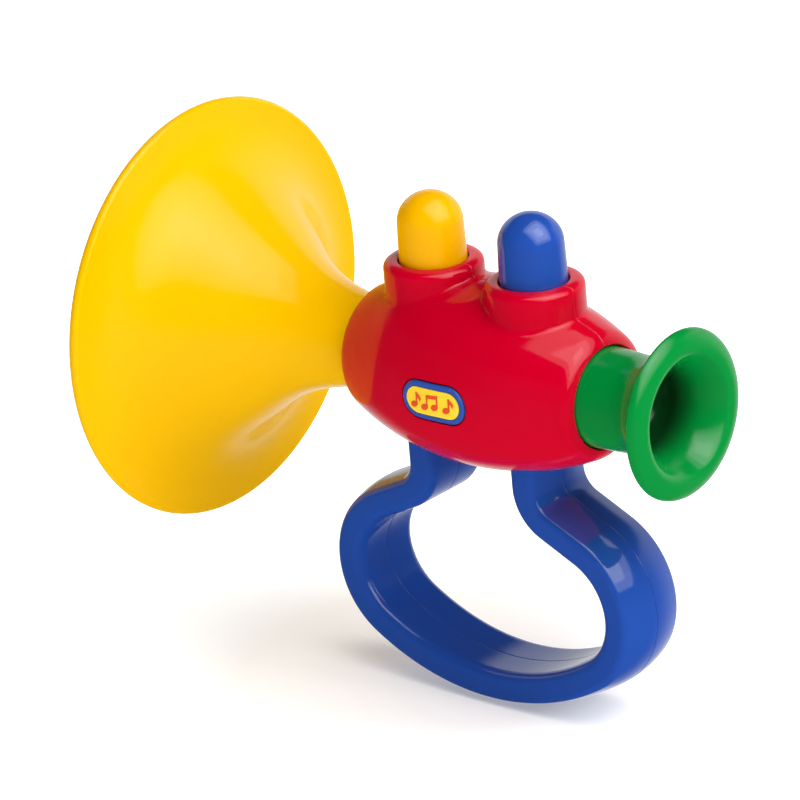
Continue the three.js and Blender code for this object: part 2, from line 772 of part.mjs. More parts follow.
// Reed parts are drawn for the mouth side, from their inner end, and mirrored for the bell side
const plateTop = -boxBottom - clearance;
const plateBottom = plateTop - reedPlateThickness;
const tongueTop = plateBottom - clearance;
const tongueBottom = tongueTop - tongueThickness;
const rivetX = reedPlateInset + tongueRootLength / 2;
const rivetHole = rivetRadius + clearance;

function reedPlate(side) {
  const half = reedPlateWidth / 2;
  const slotStart = reedPlateInset + tongueRootLength;
  const slotHalf = reedSlotWidth / 2;
  const [low, high] = [plateBottom - overrun, plateTop + overrun];
  const plateEnd = reedPlateInset + reedPlateLength;
  let plate = solid(block(reedPlateInset, plateEnd, -half, half, plateBottom, plateTop));
  const slot = block(slotStart, slotStart + reedSlotLength, -slotHalf, slotHalf, low, high);
  const hole = turnedOnZ(rod(low, high, rivetHole), screwSegments);
  plate = plate.subtract(solid(slot)).subtract(solid(hole.translate(rivetX, 0, 0)));
  return side < 0 ? plate.mirror([1, 0, 0]) : plate;
}

function reedTongue(side) {
  const rootHalf = tongueRootWidth / 2;
  const half = tongueWidth / 2;
  const rootEnd = reedPlateInset + tongueRootLength;
  const root = block(reedPlateInset, rootEnd, -rootHalf, rootHalf, tongueBottom, tongueTop);
  const blade = block(rootEnd - half, rootEnd + reedSlotLength - half, -half, half, tongueBottom, tongueTop);
  const hole = turnedOnZ(rod(tongueBottom - overrun, tongueTop + overrun, rivetHole), screwSegments);
  const tongue = solid(root).add(solid(blade)).subtract(solid(hole.translate(rivetX, 0, 0)));
  return side < 0 ? tongue.mirror([1, 0, 0]) : tongue;
}

function rivet() {
  const headTop = tongueBottom - clearance;
  return turnedOnZ([
    [headTop - rivetHeadHeight, 0],
    [headTop - rivetHeadHeight, rivetHeadRadius],
    [headTop, rivetHeadRadius],
    [headTop, rivetRadius],
    [plateTop, rivetRadius],
    [plateTop, 0],
  ], screwSegments);
}

function mouthSeal() {
  const back = boxMouthEnd + clearance;
  const front = back + sealThickness;
  const inner = spigotRadius + clearance;
  const ring = [[back, inner], [back, sealRadius], [front, sealRadius], [front, inner], [back, inner]];
  return turnedOnX(ring, smallSegments);
}

// Screw with a pan head and a cone tip; its head sits on the floor of its well
function screw() {
  const headBottom = screwSeat + clearance;
  return turnedOnY([
    [-screwDepth, 0],
    [screwShankRadius - screwDepth, screwShankRadius],
    [headBottom, screwShankRadius],
    [headBottom, screwHeadRadius],
    [headBottom + screwHeadHeight / 2, screwHeadRadius],
    [headBottom + screwHeadHeight, screwHeadRadius - screwHeadHeight / 2],
    [headBottom + screwHeadHeight, 0],
  ], screwSegments);
}

const trumpet = new THREE.Group();

function place(name, shape, finish, parent = trumpet) {
  const geometry = shape.isBufferGeometry ? closed(shape) : closed(geometryOf(shape));
  const mesh = new THREE.Mesh(geometry, new THREE.MeshStandardMaterial(finish));
  mesh.name = name;
  parent.add(mesh);
  return mesh;
}

place('bell', bell(), yellow);
place('mouthpiece', mouthpiece(), green);
place('body_shell_near', bodyShell(-1), red);
place('body_shell_far', bodyShell(1), red);
place('badge', badge(), blue);
place('grip_shell_near', gripShell(-1), blue);
place('grip_shell_far', gripShell(1), blue);
place('reed_box', reedBox(), natural);
place('reed_box_lid', reedBoxLid(), natural);
place('mouth_seal', mouthSeal(), rubber);

for (const [name, side, finish] of [['bell_side', -1, yellow], ['mouth_side', 1, blue]]) {
  const valve = new THREE.Group();
  valve.position.x = side * buttonX;
  trumpet.add(valve);
  place(`button_${name}`, buttonCap(), finish, valve);
  place(`plunger_${name}`, plunger(), natural, valve);
  place(`valve_pad_${name}`, valvePad(), rubber, valve);
  place(`button_spring_${name}`, spring(), steel, valve);
  place(`reed_plate_${name}`, reedPlate(side), brass);
  place(`reed_tongue_${name}`, reedTongue(side), brass);
  place(`reed_rivet_${name}`, rivet(), brass).position.x = side * rivetX;
}

for (const [index, [x, z]] of screwPlaces.entries()) {
  place(`body_screw_${index + 1}`, screw(), steel).position.set(x, 0, z);
}

// The grip's land stands on z = 0, with the middle of the trumpet's length over the origin
const reach = new THREE.Box3().setFromObject(trumpet);
trumpet.position.set(-(reach.min.x + reach.max.x) / 2, 0, -reach.min.z);

const part = new THREE.Group();
part.add(trumpet);

export default part;
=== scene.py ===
"""A toy trumpet in moulded plastic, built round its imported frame.

The shapes are worked out in millimetres about the bore: X runs from the bell to the mouthpiece, the
buttons stand up along Z, and the shells part on the plane Y = 0. in_row() puts them in the row frame.
"""

import math

import bmesh
import bpy
import numpy as np
from mathutils import Matrix, Vector


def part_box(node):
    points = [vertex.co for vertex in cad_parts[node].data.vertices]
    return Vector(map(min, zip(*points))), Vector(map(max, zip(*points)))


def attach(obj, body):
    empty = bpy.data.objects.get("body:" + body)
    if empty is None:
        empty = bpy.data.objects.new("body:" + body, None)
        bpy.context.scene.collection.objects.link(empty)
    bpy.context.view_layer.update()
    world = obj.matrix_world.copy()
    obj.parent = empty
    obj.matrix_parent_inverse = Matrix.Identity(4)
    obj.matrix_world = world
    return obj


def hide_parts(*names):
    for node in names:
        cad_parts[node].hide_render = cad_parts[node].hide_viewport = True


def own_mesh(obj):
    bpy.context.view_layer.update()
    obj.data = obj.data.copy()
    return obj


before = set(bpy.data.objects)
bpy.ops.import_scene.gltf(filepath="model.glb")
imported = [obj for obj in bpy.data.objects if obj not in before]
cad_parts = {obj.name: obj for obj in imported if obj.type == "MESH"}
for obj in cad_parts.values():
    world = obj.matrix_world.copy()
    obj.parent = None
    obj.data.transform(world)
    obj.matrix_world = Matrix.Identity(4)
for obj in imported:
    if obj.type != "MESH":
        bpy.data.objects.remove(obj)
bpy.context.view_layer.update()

MM = 0.001
QUARTER = math.pi / 2
TURN = math.pi * 2
SAME_POINT = 1e-6
MERGE_REACH = 1e-7
SEGMENTS = 128
BELL_SEGMENTS = 256
MOUTH_SEGMENTS = 192
CORNER_ANGLE = math.radians(40)
CORNER_SHARE = 0.45

# Places read from the frame
bell_low, bell_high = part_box("bell")
mouth_low, mouth_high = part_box("mouthpiece")
body_low, body_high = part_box("body_shell_near")
BORE = np.array([(body_low[0] + body_high[0]) / 2, 0.0, (bell_low[2] + bell_high[2]) / 2])


def middle_x(node):
    """The middle of a node along the bore, in millimetres from the middle of the body."""
    low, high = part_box(node)
    return ((low[0] + high[0]) / 2 - BORE[0]) / MM


BUTTON_X = middle_x("button_mouth_side")
BODY_HALF = (body_high[0] - body_low[0]) / 2 / MM
COLLAR_TOP = (body_high[2] - BORE[2]) / MM
BELL_RIM_R = (bell_high[2] - bell_low[2]) / 2 / MM
BELL_FRONT = (bell_low[0] - BORE[0]) / MM
MOUTH_FRONT = (mouth_high[0] - BORE[0]) / MM
MOUTH_RIM_R = (mouth_high[2] - mouth_low[2]) / 2 / MM
BUTTON_TOP = (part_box("button_mouth_side")[1][2] - BORE[2]) / MM

# Body barrel and collars
BODY_R = 26.7
CROWN_R = 90.6
CORNER_R = 6.0
BODY_WALL = 2.4
END_WALL = 5.1
END_GAP = 0.3
END_FLANGE_H = 2.2
COLLAR_R = 14.0
COLLAR_EDGE = 2.4
COLLAR_FILLET = 1.1
BORE_EDGE = 0.6
BUTTON_BORE_R = 9.8
SLEEVE_R = 11.5
LIP_DEPTH = 3.3
LIP_STEP = 0.1
HOLE_PLAY = 0.3
HOLE_EDGE = 0.4
HOLE_CLEAR = 0.1
GROOVE_DEPTH = 0.14
GROOVE_WIDTH = 0.11
LEG_PLAY = 0.25
LEG_TOOL_LOW = -5.0
LEG_TOOL_HIGH = 14.0
COLLAR_UP_SHARE = 0.25
COLLAR_IN_SHARE = 0.6
COLLAR_STOPS = (0.33, 0.66)

# The barrel's grid: lines over a button's window, lines between the windows, steps in half a turn,
# lines beside the parting line, and how far the window reaches past the collar's fillet
WINDOW_LINES = 37
BETWEEN_LINES = 5
HALF_TURN_STEPS = 96
WINDOW_STEPS = 22
SEAM_LINES = (0.09, 0.19, 0.36)
WINDOW_MARGIN = 1.7

# Bell: the pull shares are shares of each stretch's chord
NECK_R = 12.2
NECK_REACH = 38.0
FLARE_R = 27.5
LIP_R = 1.6
BELL_WALL = 2.0
BELL_FLANGE = 2.8
BELL_EASE = 0.3
LIP_SHARE = 1.84
LIP_SETBACK = 1.92
LIP_BLEND = 0.875
LIP_START = math.radians(23)
NECK_SLOPE = math.radians(10.4)
FLARE_SLOPE = math.radians(38.2)
RIM_SLOPE = math.radians(90)
NECK_PULL_SHARE = 0.42
FLARE_PULL_SHARE = 0.44
RIM_PULL_SHARE = 0.4

# Mouthpiece
TUBE_R = 14.1
TUBE_END_R = 13.7
TUBE_REACH = 9.6
TUBE_WALL = 2.4
TUBE_FLANGE = 1.9
TUBE_EASE = 0.25
RIM_EASE = 0.35
FLARE_START_PULL = 0.5
FLARE_END_PULL = 0.3
FLARE_END_SHARE = 0.7
BEAD_R = 3.3
BEAD_INSET = 5.0
BEAD_PULL_SHARE = 0.5
THROAT_R = 6.0
THROAT_WALL = 2.0
THROAT_LENGTH = 12.0
THROAT_EDGE = 0.5
CUP_DEPTH = 17.6
BOWL_DEPTH = 11.4
BOWL_R = 11.0
CUP_PULL = 3.0
CUP_PULL_SHARE = 0.55
# Painted shade inside the cup: how far in from the rim it starts and where it is full, and how far past the
# bowl's radius it reaches
PAINTED_SHADE_START = 2.0
PAINTED_SHADE_END = 12.0
PAINTED_SHADE_MARGIN = 1.5

# Buttons
BUTTON_R = 9.5
BUTTON_TOP_R = 9.2
BUTTON_WALL = 2.3
BUTTON_LEDGE = 0.8
BUTTON_EASE = 0.2
DOME_H = 8.6
FLANGE_R = 11.2
FLANGE_H = 2.0
FLANGE_GAP = 0.3
SKIRT_REACH = 4.6

# Screws on the far side, and the wells that their heads sit in
SCREW_HEAD_R = 2.8
SCREW_HEAD_H = 1.8
SCREW_SHANK_R = 1.15
THREAD_R = 1.3
THREAD_PITCH = 0.9
RECESS_HALF_W = 0.42
RECESS_HALF_L = 1.7
RECESS_DEPTH = 1.0
HEAD_DOME_SHARE = 0.55
HEAD_EASE = 0.15
THREAD_START = 1.0
CONE_H = 2.0
RIDGE_HALF = 0.35
SCREW_SEGMENTS = 48
WELL_R = 3.1
WELL_SEAT_GAP = 0.1
WELL_REACH = 4.0

# Button springs
SPRING_R = 5.0
WIRE_R = 0.45
SPRING_TURNS = 6
FLAT_TURNS = 0.75
TURN_STEPS = 24
WIRE_SIDES = 12

# Grip
GRIP_SHIFT = -1.0
GRIP_HALF_W = 12.0
GRIP_INNER_DEPTH = 4.2
GRIP_INNER_R = 3.2
GRIP_OUTER_DEPTH = 4.7
GRIP_OUTER_R = 2.4
GRIP_CROWN = 1.44
LEG_SPREAD = 17.8
LEG_DROP = 1.4
BEND_R = 11.4
SHOULDER = math.radians(25.4)
END_SPREAD = 27.0
END_R = 20.3
BOTTOM_R = 71.0
FOOT_TOP = 16.4
SEAM_EDGE = 0.22
SEAM_GAP = 0.06

# Badge
BADGE_LENGTH = 21.4
BADGE_HEIGHT = 10.9
BADGE_SHIFT = 0.9
BADGE_PROUD = 0.35
BADGE_RIM = 1.5
BADGE_EDGE_R = 0.45
BEVEL_START = 0.3
BEVEL_END = 0.1
BEVEL_DROP = 0.08
BADGE_UNDER = -0.65
BADGE_GROOVE = 0.5
BADGE_STEPS = 160
POCKET_TOP = 3.0
POCKET_FLOOR = -1.0
POCKET_LAP = 0.2
FIELD_SINK = 0.3
FIELD_PLAY = 0.08
FIELD_GAP = 0.02
FIELD_TOP = 0.32
FIELD_BEVEL = (0.12, 0.07)
NOTE_HEADS = ((-6.3, -1.3), (-2.6, -1.5), (0.9, -1.1), (4.9, -1.3))
HEAD_SIZE = (1.25, 0.9)
HEAD_LEAN = math.radians(24)
STEM_W = 0.5
STEM_H = 3.6
BEAM_H = 1.0
FLAG = ((0.0, 0.0), (0.0, -1.1), (1.0, -1.7), (1.5, -2.6), (1.9, -1.5), (1.2, -0.6))
NOTE_BASE = 0.3
NOTE_RINGS = ((1.0, -0.06), (1.0, 0.1), (0.97, 0.16), (0.9, 0.19))


def in_row(points):
    """Millimetres about the bore to metres in the row frame."""
    return np.asarray(points, float) * MM + BORE


def linked(name, data):
    """A new object in the scene for a mesh, a light or a camera."""
    made = bpy.data.objects.new(name, data)
    bpy.context.scene.collection.objects.link(made)
    return made


def blank_mesh(name, points, faces):
    """A mesh object from an array of points and an array or list of faces, its normals out."""
    mesh = bpy.data.meshes.new(name)
    mesh.from_pydata(in_row(points), [], faces if isinstance(faces, list) else faces.tolist())
    box = bmesh.new()
    box.from_mesh(mesh)
    bmesh.ops.remove_doubles(box, verts=box.verts, dist=MERGE_REACH)
    bmesh.ops.dissolve_degenerate(box, edges=box.edges, dist=MERGE_REACH / 10)
    bmesh.ops.recalc_face_normals(box, faces=box.faces)
    box.to_mesh(mesh)
    box.free()
    return linked(name, mesh)


def grid_faces(rows, columns, close_rows, close_columns):
    """Quads between neighbouring points of a grid, joined end to end where a direction closes."""
    r = np.arange(rows if close_rows else rows - 1)
    c = np.arange(columns if close_columns else columns - 1)
    r, c = np.meshgrid(r, c, indexing="ij")
    r2, c2 = (r + 1) % rows, (c + 1) % columns
    quads = [r * columns + c, r * columns + c2, r2 * columns + c2, r2 * columns + c]
    return np.stack([q.ravel() for q in quads], 1)


def capped_faces(rings, size):
    """Quads between neighbouring closed rings, and one face over each end."""
    last = (rings - 1) * size
    ends = [list(range(size))[::-1], list(range(last, last + size))]
    return grid_faces(rings, size, False, True).tolist() + ends


def arc(centre, radius, start, end, count):
    """Points on a circle arc from one angle to another, ends included."""
    t = np.linspace(start, end, count)
    return np.stack([centre[0] + radius * np.cos(t), centre[1] + radius * np.sin(t)], 1)


def bezier(p0, p1, p2, p3, count):
    """Points and left-hand normals of a cubic Bezier."""
    t = np.linspace(0, 1, count)[:, None]
    p0, p1, p2, p3 = (np.array(p, float) for p in (p0, p1, p2, p3))
    at = (1 - t) ** 3 * p0 + 3 * (1 - t) ** 2 * t * p1 + 3 * (1 - t) * t * t * p2 + t ** 3 * p3
    way = (1 - t) ** 2 * (p1 - p0) + 2 * (1 - t) * t * (p2 - p1) + t * t * (p3 - p2)
    way /= np.linalg.norm(way, axis=1)[:, None]
    return at, np.stack([-way[:, 1], way[:, 0]], 1)


def joined(*stretches):
    """Stretches of a profile, end to end, without points that repeat."""
    points = np.concatenate([np.atleast_2d(np.asarray(s, float)) for s in stretches])
    step = np.linalg.norm(np.diff(points, axis=0), axis=1)
    return points[np.concatenate([[True], step > SAME_POINT])]


def eased(corners, radius, count=6):
    """A polyline whose inner corners are rounded: each corner becomes a curve that is tangent to both
    of its sides, starting at most radius from it."""
    corners = np.asarray(corners, float)
    out = [corners[0]]
    for before, here, after in zip(corners[:-2], corners[1:-1], corners[2:]):
        a, b = before - here, after - here
        reach = min(radius, np.linalg.norm(a) * CORNER_SHARE, np.linalg.norm(b) * CORNER_SHARE)
        p0 = here + a / np.linalg.norm(a) * reach
        p2 = here + b / np.linalg.norm(b) * reach
        for t in np.linspace(0, 1, count):
            out.append((1 - t) ** 2 * p0 + 2 * (1 - t) * t * here + t * t * p2)
    out.append(corners[-1])
    return np.array(out)


def turned(name, profile, axis="x", centre=(0.0, 0.0, 0.0), segments=SEGMENTS):
    """A profile of [along, radius] pairs, closed on itself, carried round an axis."""
    profile = np.asarray(profile, float)
    angle = np.arange(segments) * TURN / segments
    along = np.repeat(profile[:, :1], segments, 1)
    out = profile[:, 1:] * np.cos(angle)
    side = profile[:, 1:] * np.sin(angle)
    order = {"x": (along, side, out), "y": (out, along, side), "z": (out, side, along)}[axis]
    points = np.stack(order, -1).reshape(-1, 3) + np.array(centre, float)
    return blank_mesh(name, points, grid_faces(len(profile), segments, True, True))


def finished(piece, body, material, slot, *nodes):
    """Smooth shading with true corners kept, a material, a body to ride on, and the nodes replaced."""
    piece.data.polygons.foreach_set("use_smooth", np.ones(len(piece.data.polygons), bool))
    piece.data.set_sharp_from_angle(angle=CORNER_ANGLE)
    weighted = piece.modifiers.new("weighted_normals", "WEIGHTED_NORMAL")
    weighted.keep_sharp = True
    piece.data.materials.clear()
    piece.data.materials.append(material)
    if nodes:
        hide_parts(*nodes)
    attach(piece, body)
    return piece


def carved(piece, *tools):
    """The piece with each tool's solid cut away. The tools are deleted."""
    for tool in tools:
        cut = piece.modifiers.new("cut", "BOOLEAN")
        cut.operation = "DIFFERENCE"
        cut.solver = "EXACT"
        cut.object = tool
    shapes = bpy.context.evaluated_depsgraph_get()
    mesh = bpy.data.meshes.new_from_object(piece.evaluated_get(shapes))
    piece.modifiers.clear()
    piece.data = mesh
    for tool in tools:
        bpy.data.objects.remove(tool)
    return piece


# Materials: scales are for patterns on coordinates in metres

PLASTIC_IOR = 1.5
SOFT_RADIUS = (0.004, 0.002, 0.001)
DRIFT_SCALE = 18.0
HANDLED_SCALE = 140.0
HANDLED_SPAN = (0.35, 0.75)
HANDLED_DULL = 0.03
PEEL_SCALE = 260.0
PEEL_DEPTH = 0.0004
STREAK_SCALE = 900.0
STREAK_STRETCH = (1.0, 1.0, 12.0)
STREAK_SHADE = 0.85
METAL_ROUGHNESS = (0.25, 0.4)


def blank_material(name):
    """A new material, its node tree and its shader."""
    material = bpy.data.materials.new(name)
    material.use_nodes = True
    return material, material.node_tree, material.node_tree.nodes["Principled BSDF"]


def noise(tree, place, scale, detail):
    """Noise in three dimensions at the place that a socket gives."""
    made = tree.nodes.new("ShaderNodeTexNoise")
    made.inputs["Scale"].default_value = scale
    made.inputs["Detail"].default_value = detail
    tree.links.new(place, made.inputs["Vector"])
    return made.outputs["Fac"]


def mixed(tree, share, first, second):
    """A colour between two others by a share. Each of the two is a colour or a socket."""
    made = tree.nodes.new("ShaderNodeMix")
    made.data_type = "RGBA"
    for name, colour in (("A", first), ("B", second)):
        if isinstance(colour, tuple):
            made.inputs[name].default_value = (*colour, 1.0)
        else:
            tree.links.new(colour, made.inputs[name])
    tree.links.new(share, made.inputs["Factor"])
    return made.outputs["Result"]


def mapped(tree, value, span, result, smooth=False):
    """A value carried from one span to another, evenly or with soft ends."""
    made = tree.nodes.new("ShaderNodeMapRange")
    made.interpolation_type = "SMOOTHSTEP" if smooth else "LINEAR"
    made.inputs["From Min"].default_value, made.inputs["From Max"].default_value = span
    made.inputs["To Min"].default_value, made.inputs["To Max"].default_value = result
    tree.links.new(value, made.inputs["Value"])
    return made.outputs["Result"]


def plastic(name, colour, roughness=0.16, grain=0.02, depth=0.06, tint=0.04, shine=0.35, painted_shade=None):
    """Moulded gloss plastic: an even colour that drifts a little over the piece, a faint orange-peel
    ripple, and a gloss that is duller in fine handled patches. Where a colour for painted shade is
    given, the surface turns to it by the piece's own attribute of the same name as that argument."""
    material, tree, shader = blank_material(name)
    shader.inputs["IOR"].default_value = PLASTIC_IOR
    shader.inputs["Specular IOR Level"].default_value = shine
    shader.inputs["Subsurface Weight"].default_value = depth
    shader.inputs["Subsurface Radius"].default_value = SOFT_RADIUS
    shader.inputs["Subsurface Scale"].default_value = 1.0
    place = tree.nodes.new("ShaderNodeTexCoord").outputs["Object"]

    dark = tuple(c * (1 - tint) for c in colour)
    light = tuple(min(1.0, c * (1 + tint)) for c in colour)
    shade = mixed(tree, noise(tree, place, DRIFT_SCALE, 2.0), dark, light)
    # Painted shade: the colour turns dark by the piece's attribute, deep inside a hollow
    if painted_shade:
        shade_mask = tree.nodes.new("ShaderNodeAttribute")
        shade_mask.attribute_name = "painted_shade"
        shade = mixed(tree, shade_mask.outputs["Fac"], shade, painted_shade)
    tree.links.new(shade, shader.inputs["Base Color"])

    handled = noise(tree, place, HANDLED_SCALE, 6.0)
    gloss = mapped(tree, handled, HANDLED_SPAN, (roughness, roughness + HANDLED_DULL))
    tree.links.new(gloss, shader.inputs["Roughness"])

    ripple = tree.nodes.new("ShaderNodeBump")
    ripple.inputs["Strength"].default_value = grain
    ripple.inputs["Distance"].default_value = PEEL_DEPTH
    tree.links.new(noise(tree, place, PEEL_SCALE, 2.0), ripple.inputs["Height"])
    tree.links.new(ripple.outputs["Normal"], shader.inputs["Normal"])
    return material


def metal(name, colour):
    """Drawn or rolled metal: fine streaks that break up the colour and the gloss."""
    material, tree, shader = blank_material(name)
    shader.inputs["Metallic"].default_value = 1.0
    place = tree.nodes.new("ShaderNodeTexCoord").outputs["Object"]
    stretch = tree.nodes.new("ShaderNodeMapping")
    stretch.inputs["Scale"].default_value = STREAK_STRETCH
    tree.links.new(place, stretch.inputs["Vector"])
    streaks = noise(tree, stretch.outputs["Vector"], STREAK_SCALE, 4.0)
    shade = mixed(tree, streaks, tuple(c * STREAK_SHADE for c in colour), colour)
    tree.links.new(shade, shader.inputs["Base Color"])
    tree.links.new(mapped(tree, streaks, (0.0, 1.0), METAL_ROUGHNESS), shader.inputs["Roughness"])
    return material


yellow = plastic("yellow_plastic", (0.76, 0.42, 0.0), roughness=0.14, depth=0.12, shine=0.17)
button_yellow = plastic("button_yellow_plastic", (0.77, 0.38, 0.0), roughness=0.14, depth=0.12, shine=0.2)
red = plastic("red_plastic", (0.49, 0.0, 0.015), roughness=0.08, shine=0.29)
blue = plastic("blue_plastic", (0.013, 0.059, 0.31), roughness=0.09, shine=0.5)
# The green's second colour is painted shade for deep inside the mouthpiece's bowl
green = plastic("green_plastic", (0.0, 0.2, 0.031), roughness=0.15, shine=0.33, painted_shade=(0.003, 0.045, 0.009))
natural = plastic("natural_plastic", (0.75, 0.73, 0.68), roughness=0.4, grain=0.05)
badge_yellow = plastic("badge_yellow", (0.93, 0.6, 0.02), roughness=0.25)
badge_blue = plastic("badge_blue", (0.02, 0.07, 0.34), roughness=0.25)
badge_red = plastic("badge_red", (0.72, 0.07, 0.005), roughness=0.25)
rubber = plastic("dark_rubber", (0.03, 0.03, 0.03), roughness=0.75, grain=0.3)
brass = metal("rolled_brass", (0.75, 0.5, 0.2))
steel = metal("zinc_plated_steel", (0.62, 0.63, 0.66))


# Body


def barrel_radius(x):
    """The barrel's crown: a circle arc over the length."""
    return BODY_R - CROWN_R + np.sqrt(CROWN_R ** 2 - np.square(x))


def hollow_radius(x):
    """The inside of the barrel's wall under the crown."""
    return BODY_R - CROWN_R + np.sqrt((CROWN_R - BODY_WALL) ** 2 - np.square(x))


def groove(y):
    """How deep the parting line's groove is at a distance from the plane Y = 0: a bell curve across."""
    return GROOVE_DEPTH * np.exp(-np.square(y / GROOVE_WIDTH))


def barrel_meridian():
    """The barrel's wall cut along the bore and closed on itself, as [along, radius] pairs: the crown, a
    round at each end, the end walls with their holes, and the hollow. Even lines lie over each button's
    window. Also gives the places of the first window line on the outside and of the last one inside."""
    window = COLLAR_R + COLLAR_FILLET + WINDOW_MARGIN
    near, far = BUTTON_X - window, BUTTON_X + window
    lines = np.concatenate([
        np.linspace(-far, -near, WINDOW_LINES),
        np.linspace(-near, near, BETWEEN_LINES + 2)[1:-1],
        np.linspace(near, far, WINDOW_LINES),
    ])
    corner_x = BODY_HALF - CORNER_R
    centre_r = BODY_R - CROWN_R + math.sqrt((CROWN_R - CORNER_R) ** 2 - corner_x ** 2)
    lean = math.atan2(centre_r - BODY_R + CROWN_R, corner_x)
    corner = arc((corner_x, centre_r), CORNER_R, lean, 0, 9)[1:]
    outer_left = np.linspace(-CROWN_R * math.cos(lean), -far, 5)[:-1]
    outer_x = np.concatenate([outer_left, lines, -outer_left[::-1]])
    inner_end = BODY_HALF - END_WALL
    inner_left = np.linspace(-inner_end, -far, 3)[:-1]
    inner_x = np.concatenate([inner_left, lines, -inner_left[::-1]])[::-1]

    edge = HOLE_EDGE
    bell_hole, tube_hole = NECK_R + HOLE_PLAY, TUBE_R + HOLE_PLAY
    tube_wall_x = corner_x + math.sqrt(CORNER_R ** 2 - (tube_hole + edge - centre_r) ** 2)
    parts = [
        [[-inner_end, bell_hole], [-BODY_HALF + edge, bell_hole], [-BODY_HALF, bell_hole + edge]],
        corner[::-1] * [-1, 1],
        np.stack([outer_x, barrel_radius(outer_x)], 1),
        corner[corner[:, 1] > tube_hole + edge + HOLE_CLEAR],
        [[tube_wall_x, tube_hole + edge], [tube_wall_x - edge, tube_hole], [inner_end, tube_hole]],
        np.stack([inner_x, hollow_radius(inner_x)], 1),
    ]
    outer_start = sum(len(p) for p in parts[:2]) + len(outer_left)
    inner_start = sum(len(p) for p in parts[:5]) + len(inner_left) + len(lines) - 1
    return np.concatenate([np.asarray(p, float) for p in parts]), outer_start, inner_start


def window_border(lines, columns, turns):
    """Grid places round a window, from its first corner, in one sense."""
    there = [(lines[0], c) for c in columns[:-1]] + [(k, columns[-1]) for k in lines[:-1]]
    back = [(lines[-1], c) for c in columns[::-1][:-1]] + [(k, columns[0]) for k in lines[::-1][:-1]]
    return np.array([(i, j % turns) for i, j in there + back])


def between(start, end, law, steps):
    """Rings spread from one to the other in length and in angle about the bore. The law gives the
    barrel's radius at each place along the bore."""
    a0, a1 = (np.arctan2(p[:, 1], p[:, 2]) for p in (start, end))
    for t in np.linspace(0, 1, steps + 2)[1:-1]:
        x = start[:, 0] * (1 - t) + end[:, 0] * t
        angle = a0 * (1 - t) + a1 * t
        yield np.stack([x, law(x) * np.sin(angle), law(x) * np.cos(angle)], 1)


def collar_rings(side, rim, rim_in):
    """Rings from a window's border outside to the one inside: over the barrel to a fillet, up the
    collar, round its edge, down its bore, and out along the hollow."""
    middle = side * BUTTON_X
    way = rim[:, :2] - (middle, 0)
    way /= np.linalg.norm(way, axis=1)[:, None]

    def ring(radius, height):
        return np.column_stack([middle + radius * way[:, 0], radius * way[:, 1], np.full(len(way), height)])

    def on_barrel(radius, law):
        flat = ring(radius, 0.0)
        flat[:, 2] = np.sqrt(law(flat[:, 0]) ** 2 - flat[:, 1] ** 2)
        return flat

    foot = on_barrel(COLLAR_R + COLLAR_FILLET, barrel_radius)
    root = on_barrel(COLLAR_R, barrel_radius)
    spring = root + [0, 0, COLLAR_FILLET]
    rings = list(between(rim, foot, barrel_radius, 5))
    for t in np.linspace(0, 1, 7):
        rings.append((1 - t) ** 2 * foot + 2 * (1 - t) * t * root + t * t * spring)
    top = COLLAR_TOP - COLLAR_EDGE
    for t in COLLAR_STOPS:
        rings.append(spring * (1 - t) + ring(COLLAR_R, top) * t)
    lip = BUTTON_BORE_R + BORE_EDGE
    edge_curve, _ = bezier(
        (COLLAR_R, top),
        (COLLAR_R, COLLAR_TOP - COLLAR_UP_SHARE * COLLAR_EDGE),
        (COLLAR_R - COLLAR_IN_SHARE * COLLAR_EDGE, COLLAR_TOP),
        (lip, COLLAR_TOP), 12)
    bore_edge = arc((lip, COLLAR_TOP - BORE_EDGE), BORE_EDGE, QUARTER, math.pi, 7)[1:]
    for radius, height in np.concatenate([edge_curve, bore_edge]):
        rings.append(ring(radius, height))
    rings.append(ring(BUTTON_BORE_R, COLLAR_TOP - LIP_DEPTH))
    rings.append(ring(SLEEVE_R, COLLAR_TOP - LIP_DEPTH - LIP_STEP))
    rings.append(on_barrel(SLEEVE_R, hollow_radius))
    return rings + list(between(rings[-1], rim_in, hollow_radius, 3))


def body_barrel():
    """The barrel with its collars, as one closed wall. A closed meridian is carried round the bore;
    over each button the grid has a square window, outside and inside, and the collar's rings run from
    one window to the other."""
    meridian, outer_start, inner_start = barrel_meridian()

    # Angles are even, with extra lines beside the parting line
    close = np.array(SEAM_LINES) / BODY_R
    even = np.arange(1, HALF_TURN_STEPS) * math.pi / HALF_TURN_STEPS
    half = np.concatenate([close, even, math.pi - close[::-1]])
    angle = np.concatenate([[0.0], half, [math.pi], math.pi + half])
    turns = len(angle)
    x, r = meridian[:, :1], meridian[:, 1:]
    points = np.stack([x + 0 * angle, r * np.sin(angle), r * np.cos(angle)], -1)
    keep = np.ones((len(meridian), turns), bool)
    reach = len(close) + WINDOW_STEPS
    columns = np.arange(-reach, reach + 1)

    every, faces = [points.reshape(-1, 3)], []
    total = len(meridian) * turns
    for side in (-1, 1):
        shift = 0 if side < 0 else WINDOW_LINES + BETWEEN_LINES
        borders = []
        for first, step in ((outer_start + shift, 1), (inner_start - shift, -1)):
            lines = first + step * np.arange(WINDOW_LINES)
            keep[np.ix_(np.minimum(lines[:-1], lines[1:]), columns[:-1] % turns)] = False
            borders.append(window_border(lines, columns, turns))
        rings = collar_rings(side, *(points[border[:, 0], border[:, 1]] for border in borders))
        outside, inside = (border @ (turns, 1) for border in borders)
        here = np.arange(len(outside))
        ids = [outside, *[total + n * len(here) + here for n in range(len(rings))], inside]
        for a, b in zip(ids[:-1], ids[1:]):
            faces.append(np.stack([a, np.roll(a, -1), np.roll(b, -1), b], 1))
        total += len(here) * len(rings)
        every += rings
    grid = grid_faces(len(meridian), turns, True, True)[keep.ravel()]
    return blank_mesh("body_barrel", np.concatenate(every), np.concatenate([grid, *faces]))


